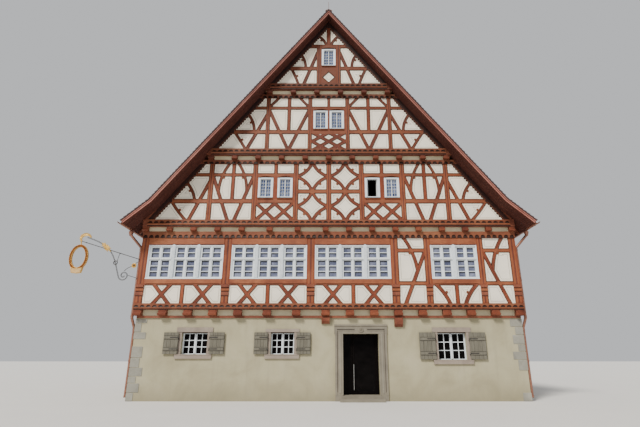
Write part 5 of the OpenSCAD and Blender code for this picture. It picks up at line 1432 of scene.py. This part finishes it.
def attic_3(s):
    """Right half of the top attic, with the lozenge under its window"""
    half, x = ATTIC_POST / 2, ATTIC_3_POST
    high = HIGH_RAIL_Z + ATTIC_RAIL_H
    s.post(x, 0, high, ATTIC_POST)
    s.board("rail", [(0, 0), (x - half, 0), (x - half, ATTIC_RAIL_Z), (0, ATTIC_RAIL_Z), (0, 0.580),
                     (0.240, 0.335), (0, 0.090)])
    s.window_row(ATTIC_WINDOW_W / 2, x - half, [(0, ATTIC_WINDOW_W / 2)])
    for z in (ATTIC_RAIL_Z, HIGH_RAIL_Z):
        s.rail(0, x - half, z, ATTIC_RAIL_H)
        s.rail(x + half, HALF_F, z, ATTIC_RAIL_H)
    if s.side == 1:
        s.post(0, high, RIDGE_Z - ATTIC_Z[2], 0.180, False)
    bow = curved((0.110, high), (0.480, high + 0.480), 0.050)
    s.brace(bow, BOW_W, 0, HALF_F, high, ATTIC_H + ATTIC_RAIL_H, -1)
    s.corner_braces(x + half, 0.540, (0.730, 0.470), (1.060, 0.770), -0.010)


def timber_boards():
    """Boards on the timbers of all four walls, a piece for each kind"""
    for wall in WALLS:
        upper_storey(wall)
        if wall in GABLES:
            attic_storeys(wall)
    # The rake boards get the shadow paint: painted shade on the timbers under the verges
    for kind, finish in (("post", POST_WOOD), ("rail", RAIL_WOOD), ("brace", BRACE_WOOD),
                         ("fillet", OXBLOOD_PALE), ("groove", OXBLOOD_DARK), ("rake", SHADOW_PAINT)):
        Storey.shapes[kind].piece(kind + "_boards", finish, "timber")


def consoles():
    """Painted faces of the carved consoles on the posts of the upper storey, with near black strips painted
    as shade between their bands
    """
    blocks, bands, grooves = Shape(), Shape(), Shape()
    foot = UPPER_Z + SILL_RAIL_Z - CONSOLE_DROP
    face = FACES[0]
    for wall in GABLES:
        for a, b in gable_bays()[1]:
            for z0, z1, out, grow in ((0.028, 0.128, 0.034, 0.002), (0.318, 0.412, 0.0595, 0.004)):
                blocks.block(a - grow, b + grow, face, face + out, foot + z0, foot + z1, wall, 0.006)
            bands.block(a - 0.006, b + 0.006, face, face + 0.048, foot + 0.180, foot + 0.264, wall, 0.008)
            # Near black strips under and between the bands: painted shade
            for z0, z1, out in ((0.150, 0.168, 0.017), (0.276, 0.296, 0.020), (-0.014, 0.006, 0.018)):
                grooves.block(a - 0.003, b + 0.003, face, face + out, foot + z0, foot + z1, wall, 0.002)
    blocks.piece("console_blocks", OXBLOOD, "timber")
    bands.piece("console_bands", OXBLOOD_PALE, "timber")
    grooves.piece("console_grooves", SHADOW_PAINT, "timber")


def verge_tiles():
    """Tiles on the roof's edges, laid course by course over the mouldings"""
    shape = Shape()
    corners = [Vector(corner) for corner in roof_lines()]
    for gable in GABLES:
        sign = -1 if gable == "front" else 1
        for side in (1, -1):
            for a, b in zip(corners, corners[1:]):
                down = (b - a).normalized()
                normal = left_of(down)
                count = round((b - a).length / TILE_COURSE)
                for i in range(count):
                    high, low = a + (b - a) * (i / count), a + (b - a) * ((i + 1) / count)
                    lift = rng.uniform(0.0, 0.006)
                    section = [
                        high - down * 0.05 + normal * 0.012, low + down * 0.012 + normal * (0.040 + lift),
                        low + down * 0.018 + normal * 0.006, low + down * 0.012 - normal * 0.024,
                        high + down * 0.02 - normal * 0.014,
                    ]
                    ends = (VERGE_Y - 0.060, VERGE_Y + 0.040 + rng.uniform(0, 0.008))
                    shape.loft([[(side * p.x, sign * y, p.y) for p in section] for y in ends])
    # The edge tiles take the darker copy of the tile colours: painted shade
    shape.piece("verge_tile_edge", SHADED_EDGE_TILES, "roof_tiles")


def stone_reveals():
    """Worked edges of the window stonework: a near black block under the head painted as the lintel's shadow,
    chamfered jambs and worn sills
    """
    edges, drips = Shape(), Shape()
    for wall, u0, u1, _, z0, z1 in wall_boxes("stone_floor_windows"):
        # Near black block in the reveal under the head: painted shadow of the lintel
        drips.block(u0 - 0.004, u1 + 0.004, -0.110, -0.004, z1 - 0.038, z1 + 0.004, wall, 0.004)
        for a, b in ((u0 - 0.012, u0 + 0.006), (u1 - 0.006, u1 + 0.012)):
            edges.block(a, b, 0.0, 0.0175, z0, z1, wall, 0.005)
        edges.block(u0 - 0.200, u1 + 0.200, 0.0, 0.070, z0 - 0.046, z0 - 0.006, wall, 0.014)
    edges.piece("window_stone_edges", PINK_STONE, "dressed_stone")
    drips.piece("window_head_shadows", SHADE_STONE, "dressed_stone")


def door_surround():
    """Grooves, fillets and rosette carved in the stone round the door; the grooves' near black lines are
    painted shade
    """
    low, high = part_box("door_frame")
    jambs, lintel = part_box("door_jambs"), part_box("door_lintel")
    u0, u1, head, top = low.x, high.x, high.z, lintel[1].z
    middle, half = (u0 + u1) / 2, (jambs[1].x - jambs[0].x) / 2
    face = SURROUND_OUT
    lines, edges, flower = Shape(), Shape(), Shape()
    groove = head + (top - head) * 0.45
    near, line_top = face - 0.01, face + 0.003
    for s in (-1, 1):
        a, b = sorted((middle + s * 0.23, middle + s * (half - 0.075)))
        # Near black lines in the grooves: painted shade
        lines.block(a, b, near, line_top, groove - 0.014, groove + 0.014, "front", 0.001)
        for shift in (0.030, -0.034):
            z = groove + shift
            edges.block(a, b, near, face + 0.016, z - 0.012, z + 0.012, "front", 0.005)
        x = middle + s * (half - 0.088)
        lines.block(x - 0.010, x + 0.010, near, line_top, jambs[0].z + 0.30, groove + 0.014, "front", 0.001)
        x = middle + s * ((u1 - u0) / 2 + 0.012)
        edges.block(x - 0.016, x + 0.016, face - 0.03, face + 0.014, low.z, head + 0.006, "front", 0.007)
        x = middle + s * ((u1 - u0) / 2 + 0.105)
        edges.block(x - 0.030, x + 0.030, near, face + 0.010, low.z + 0.06, head - 0.02, "front", 0.008)
    edges.block(u0 - 0.028, u1 + 0.028, face - 0.03, face + 0.014, head - 0.004, head + 0.026, "front", 0.007)
    petals, steps, rim = 12, 5, face + 0.028
    for k in range(petals):
        turn = math.tau * k / petals
        c, t = math.cos(turn), math.sin(turn)
        rings = []
        for i in range(steps):
            r = 0.026 + 0.016 * i
            half_petal = 0.017 * math.sin(math.pi * (i + 1.2) / 6.2)
            x, z = middle + r * c, groove + r * t
            rings.append([(x + half_petal * t, rim, z - half_petal * c), (x, face + 0.048 - 0.003 * i, z),
                          (x - half_petal * t, rim, z + half_petal * c)])
        flower.loft(rings, "front")
    button = ((0.026, 0.030), (0.024, 0.050), (0.012, 0.060))
    flower.turned(middle, groove, [(r, face + out) for r, out in button], "front")
    lines.piece("surround_grooves", SHADE_STONE, "dressed_stone")
    edges.piece("surround_fillets", PALE_STONE, "dressed_stone")
    flower.piece("surround_rosette", DOOR_STONE, "dressed_stone")


def quoins():
    """Grey blocks at the stucco's corners, long and short by turns; at the front some are left out"""
    shape = Shape()
    long, short, lowest, shown = 0.42, 0.27, 0.15, 0.72
    for sx in (-1, 1):
        for sy in (-1, 1):
            z, k = 0.0, 0
            while z < STONE_H - lowest:
                height = min(rng.uniform(0.22, 0.40), STONE_H - 0.03 - z)
                along, across = (long, short) if k % 2 else (short, long)
                along, across = along + rng.uniform(-0.05, 0.05), across + rng.uniform(-0.05, 0.05)
                if rng.random() < shown or sy > 0:
                    top = z + height
                    rings = []
                    levels = ((z + 0.006, 0.010), (z + 0.016, 0), (top - 0.016, 0), (top - 0.006, 0.010))
                    for at, inset in levels:
                        out = 0.013 - inset
                        xs = (HALF_W + out, HALF_W - along + inset)
                        ys = (HALF_D + out, HALF_D - across + inset)
                        corners = ((xs[0], ys[0]), (xs[0], ys[1]), (xs[1], ys[1]), (xs[1], ys[0]))
                        rings.append([(sx * x, sy * y, at) for x, y in corners])
                    shape.loft(rings)
                z += height
                k += 1
    shape.piece("corner_stones", QUOIN_STONE, "dressed_stone")


def shutter_parts():
    """Planks, dark edges of the ledges painted as their shadow, straps and studs of the shutters, each riding
    on its own
    """
    w, count, knuckle = SHUTTER_FACE, 4, 0.027
    ledge_w = w + LEDGE_T
    stud = ((0.009, 0.004), (0.008, 0.006), (0.003, 0.0068))
    for body in SHUTTERS:
        on_left = body.endswith("left")
        low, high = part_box(body)
        u0, u1 = (low.x, high.x - knuckle) if on_left else (low.x + knuckle, high.x)
        planks, lines, straps = Shape(), Shape(), Shape()
        width = (u1 - u0) / count
        for i in range(count):
            a, b = u0 + i * width + 0.003, u0 + (i + 1) * width - 0.003
            top = high.z - rng.uniform(0, 0.004)
            planks.block(a, b, w - 0.002, w + 0.005, low.z + 0.001, top - 0.001, "front", 0.004)
            lines.block(b - 0.001, b + 0.007, w - 0.001, w + 0.001, low.z + 0.002, high.z - 0.004, "front",
                        0.0004)
        sill, head = low.z - SHUTTER_END, high.z + SHUTTER_END
        hinge_end, far_end = (u1 + 0.012, u1 - 0.30) if on_left else (u0 - 0.012, u0 + 0.30)
        for share in (0.20, 0.72):
            z = sill + share * (head - sill) + 0.030
            # Dark strips along the top and bottom of each ledge: painted shadow
            for edge in (-0.055, 0.055):
                lines.block(u0 + 0.018, u1 - 0.018, w, ledge_w + 0.0015, z + edge - 0.006, z + edge + 0.006,
                            "front", 0.002)
            a, b = sorted((hinge_end, far_end))
            straps.block(a, b, ledge_w - 0.002, ledge_w + 0.0045, z - 0.017, z + 0.017, "front", 0.002)
            for k in range(4):
                x = hinge_end + (far_end - hinge_end) * (0.18 + 0.25 * k)
                straps.turned(x, z, [(r, ledge_w + out) for r, out in stud], "front", 8)
        planks.piece(body + "_planks", SHUTTER, "shutter_wood", body=body)
        lines.piece(body + "_gaps_and_shadows", SHUTTER_DARK, "shutter_wood", body=body)
        straps.piece(body + "_straps", IRON, "wrought_iron", body=body)


def pipe_parts():
    """Collars of the downpipes, and the irons and beads of the gutters"""
    shape = Shape()
    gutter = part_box("gutters")
    gutter_x, rim = gutter[1].x - GUTTER_R, gutter[1].z
    irons, first_iron = 27, -VERGE_Y + 0.30
    turns = [math.radians(180 + 180 * k / 8) for k in range(9)]
    for side in (1, -1):
        for x, y, heights in ((STONE_PIPE_X, STONE_PIPE_Y, (0.16, 1.35, 2.44)),
                              (PIPE_X, PIPE_Y, (2.92, 4.25, 5.42))):
            for z in heights:
                shape.tube([(side * x, y, z + a) for a in (-0.036, -0.030, -0.012, 0.012, 0.030, 0.036)],
                           [0.051, 0.060, 0.056, 0.056, 0.060, 0.051], sides=16)
        shape.tube([(side * gutter_x, PIPE_Y, rim - GUTTER_R - a) for a in (0.190, 0.150, 0.080, 0.020)],
                   [0.056, 0.062, 0.085, 0.092], sides=16)
        shape.tube([(side * (gutter_x + GUTTER_R), y, rim - 0.004) for y in (-VERGE_Y, VERGE_Y)], 0.011)
        for i in range(irons):
            y = first_iron + i * (2 * VERGE_Y - 0.60) / (irons - 1)
            outer, inner = [[(gutter_x + r * math.cos(t), rim + r * math.sin(t)) for t in turns]
                            for r in (GUTTER_R + 0.006, GUTTER_R - 0.001)]
            shape.loft([[(side * x, y + t, z) for x, z in outer + inner[::-1]] for t in (-0.014, 0.014)])
    shape.piece("pipe_collars", COPPER, "gutter_metal", smooth=True)


def knobs():
    """Small turned curls that the carved points of the curved braces end in"""
    shape = Shape()
    profile = ((0.052, -0.013), (0.052, 0.004), (0.042, 0.012), (0.024, 0.002), (0.013, 0.010))
    for wall, face, x, z in Storey.tips:
        shape.turned(x, z, [(r, face + w) for r, w in profile], wall)
    shape.piece("brace_knobs", OXBLOOD_LIGHT, "timber")


def beside(points, shift):
    """Line of (x, y, z) points moved sideways in the bracket's plane"""
    found = []
    for i, p in enumerate(points):
        a, b = Vector(points[max(i - 1, 0)]), Vector(points[min(i + 1, len(points) - 1)])
        along = (b - a).normalized()
        found.append((p[0] - along.z * shift, p[1], p[2] + along.x * shift))
    return found


def sign_bracket():
    """Wrought bracket of round bars with gilded leaves, in the place of the plain one"""
    iron, gilt, crest = Shape(), Shape(), Shape()
    wall_x = -HALF_F
    scroll, ring, rosette = (-7.771, 4.410), (-8.145, 4.900), (-7.421, 4.790)

    # Bar on the corner post with its four nails
    iron.tube([(wall_x - 0.015, SIGN_Y, z) for z in (3.515, 3.545, 3.560, 5.655, 5.670, 5.700)],
              [0.006, 0.022, 0.014, 0.014, 0.022, 0.006], sides=10)
    for z in (3.75, 4.29, 4.95, 5.48):
        iron.tube([(wall_x + x, SIGN_Y, z) for x in (0.004, -0.015, -0.040)], [0.020, 0.020, 0.012])

    # Slanting arm with its beads, and the hook at its end
    foot, eye = Vector((wall_x, SIGN_Y, EYE_Z - 0.715)), Vector((HOOK_X + 0.032, SIGN_Y, EYE_Z))
    iron.tube([foot, eye], 0.0135, sides=10)
    for share in (0.02, 0.34, 0.36, 0.62, 0.64, 0.94):
        p = foot + (eye - foot) * share
        step = (eye - foot).normalized() * 0.014
        iron.tube([p - step, p, p + step], [0.013, 0.023, 0.013], sides=10)
    iron.tube([(HOOK_X + x, SIGN_Y, EYE_Z) for x in (-0.068, -0.064, -0.058, -0.057, 0.060)],
              [0.010, 0.018, 0.018, 0.009, 0.009], sides=12)

    # Double sweep that ends in the scroll, the ring on it and the curved stays
    sweep = curve_through([(-9.385, 5.900), (-9.10, 5.80), (-8.80, 5.66), (-8.445, 5.40), (-8.20, 5.02),
                           (-8.05, 4.62), (-7.945, 4.333)])
    coil = spiral(scroll, 0.190, math.radians(204), 1.4, 34)
    for shift in (-0.0135, 0.0135):
        iron.tube(beside(sweep + coil[1:], shift), 0.0085, sides=7)
    for radius in (0.060, 0.080):
        iron.tube(oval(ring, radius, radius, 20), 0.0085, sides=7)
    iron.tube(curve_through([(ring[0] + 0.06, ring[1] + 0.05), (-8.06, 5.12), (-8.02, 5.268)]), 0.009)
    for path in ([(scroll[0] + 0.175, scroll[1]), (-7.42, 4.36), (wall_x - 0.01, scroll[1] - 0.120)],
                 [(scroll[0], scroll[1] + 0.165), (-7.63, 4.70), rosette],
                 [rosette, (-7.33, 4.90), (wall_x - 0.01, rosette[1] + 0.160)]):
        iron.tube(curve_through(path), 0.011)
    iron.tube([(rosette[0], SIGN_Y - y, rosette[1]) for y in (-0.02, 0.016, 0.030)], [0.034, 0.034, 0.012],
              sides=14)
    iron.piece("bracket_bars", IRON, "wrought_iron", smooth=True)

    # Crest of leaves over the hook, along an arc that starts low on the left
    def arc(degrees, half_w, half_h):
        """Turn and place on the crest's arc, some degrees after its start"""
        turn = math.radians(222 - degrees)
        return turn, -9.430 + half_w * math.cos(turn), 5.845 + half_h * math.sin(turn)

    for i in range(22):
        share = i / 21
        turn, x, z = arc(190 * share, 0.170, 0.130)
        leaf(crest, (x, z), turn - 0.8, 0.080 + 0.05 * math.sin(math.pi * share), 0.060)
    spine = [arc(190 * i / 24, 0.175, 0.135) for i in range(25)]
    crest.tube([(x, SIGN_Y, z) for turn, x, z in spine],
               [0.009 + 0.026 * math.sin(math.pi * i / 24) for i in range(25)])
    stem = ((HOOK_X - 0.03, EYE_Z + 0.006), (-9.565, 5.760), (-9.556, 5.790))
    crest.tube([(x, SIGN_Y, z) for x, z in stem], 0.010)

    # Leaves on the sweep, and the rosette's petals and rim
    slope = math.radians(-42)
    for turn, length in ((0, 0.30), (0.42, 0.22), (-0.42, 0.22), (0.9, 0.14), (-0.9, 0.14), (math.pi, 0.26),
                         (math.pi + 0.4, 0.20), (math.pi - 0.4, 0.20), (1.8, 0.11), (-1.8, 0.11)):
        leaf(gilt, (-8.600, 5.520), slope + turn, length, 0.075)
    petals = 14
    for k in range(petals):
        turn = math.tau * k / petals
        root = (rosette[0] + 0.026 * math.cos(turn), rosette[1] + 0.026 * math.sin(turn))
        leaf(gilt, root, turn, 0.066, 0.030)
    gilt.tube(oval(rosette, 0.082, 0.082, 24, SIGN_Y - 0.004), 0.012)
    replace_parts(gilt.piece("bracket_gilding", GILT, "gilded_iron", smooth=True), "sign_bracket")
    crest.piece("bracket_crest", GILT, "gilded_iron", smooth=True)


def sign_wreath():
    """Leaves round the hanging wreath, with a thin inner ring and a plain waisted banner at its foot"""
    centre_x, centre_z = HOOK_X - 0.035, EYE_Z - 0.620
    half_w, half_h = 0.312, 0.452
    leaves, line, banner = Shape(), Shape(), Shape()
    count, leaf_length = 40, 0.084
    for row, (grow, turn) in enumerate(((0.0, 0.55), (-0.040, 0.25), (0.038, 0.90))):
        for i in range(count):
            a = math.tau * (i + row / 3) / count
            x, z = centre_x + (half_w + grow) * math.cos(a), centre_z + (half_h + grow) * math.sin(a)
            way = 1 if math.cos(a) > 0 else -1
            along = math.atan2(half_h * math.cos(a), -half_w * math.sin(a)) + (0 if way > 0 else math.pi)
            d = along + way * (turn - 0.5) * 0.9 + rng.uniform(-0.15, 0.15)
            nx, nz = -math.sin(d), math.cos(d)
            for face in (-1, 1):
                rings = []
                for k in range(6):
                    t = k / 5
                    half = 0.025 * math.sin(math.pi * min(0.9 * t + 0.08, 1))
                    y = SIGN_Y - face * (0.030 + 0.022 * math.sin(math.pi * t))
                    edge_y = SIGN_Y - face * 0.024
                    px, pz = x + leaf_length * t * math.cos(d), z + leaf_length * t * math.sin(d)
                    rings.append([(px - nx * half, edge_y, pz - nz * half), (px, y - face * 0.006, pz),
                                  (px + nx * half, edge_y, pz + nz * half), (px, SIGN_Y - face * 0.020, pz)])
                leaves.loft(rings)
    leaves.piece("wreath_leaves", WREATH, "gilded_iron", body="sign_wreath", smooth=True)

    for face in (-1, 1):
        line.tube(oval((centre_x, centre_z), 0.262, 0.402, 48, SIGN_Y - face * 0.030), 0.007, sides=6)
    line.piece("wreath_ring", GILT, "gilded_iron", body="sign_wreath", smooth=True)

    low = centre_z - 0.500
    outline = ((-0.180, -0.100), (0, -0.124), (0.180, -0.100), (0.222, 0.098), (0, 0.055), (-0.222, 0.098))
    plate = [Vector((centre_x + x, low + z)) for x, z in outline]
    for face in (-1, 1):
        rings = []
        for inset, out in ((0.004, 0.046), (0.010, 0.060), (0.024, 0.060), (0.030, 0.052)):
            rings.append([(p.x, SIGN_Y - face * out, p.y) for p in offset_loop(plate, inset)])
        banner.loft(rings)
    banner.piece("wreath_banner", BANNER, "gilded_iron", body="sign_wreath")


def camera_and_light():
    """The photograph's camera, with a soft sun from the left and an even sky"""
    data = bpy.data.cameras.new("camera")
    data.sensor_width = SENSOR_MM
    data.lens = FOCAL_PX / PHOTO_W * SENSOR_MM
    data.shift_x = (PHOTO_W / 2 - CENTRE_PX) / PHOTO_W
    data.clip_end = 500
    camera = new_object("camera", data)
    camera.location = CAMERA_AT
    camera.rotation_euler = (math.pi / 2 + PITCH_UP, 0, 0)
    bpy.context.scene.camera = camera

    world = bpy.data.worlds.new("studio")
    world.use_nodes = True
    background = world.node_tree.nodes["Background"]
    background.inputs["Color"].default_value = (0.95, 0.97, 1.0, 1)
    background.inputs["Strength"].default_value = 0.64
    bpy.context.scene.world = world

    sun = bpy.data.lights.new("soft_sun", "SUN")
    sun.energy = 4.5
    sun.angle = math.radians(14)
    sun.color = (1.0, 0.95, 0.87)
    new_object("soft_sun", sun).rotation_euler = (math.radians(46), 0, math.radians(-34))


def floor():
    """Plain grey floor that the house stands on"""
    size = 90
    mesh = bpy.data.meshes.new("floor")
    corners = [(-size, -size, 0), (size, -size, 0), (size, size, 0), (-size, size, 0)]
    mesh.from_pydata(corners, [], [[0, 1, 2, 3]])
    f = Finish("floor_grey", 0.9, specular=0.1)
    mesh.materials.append(f.done(f.mix(f.noise(0.6, 3), (0.66, 0.65, 0.63), (0.70, 0.69, 0.67))))
    new_object("floor", mesh)


camera_and_light()
floor()
timber_boards()
knobs()
accompanying_lines()
upper_window_parts()
attic_window_parts()
stone_window_parts()
stone_reveals()
door_surround()
quoins()
shutter_parts()
pipe_parts()
friezes()
beam_heads()
consoles()
roof_tiles()
ridge_tiles()
verge_tiles()
verges()
sign_bracket()
sign_wreath()
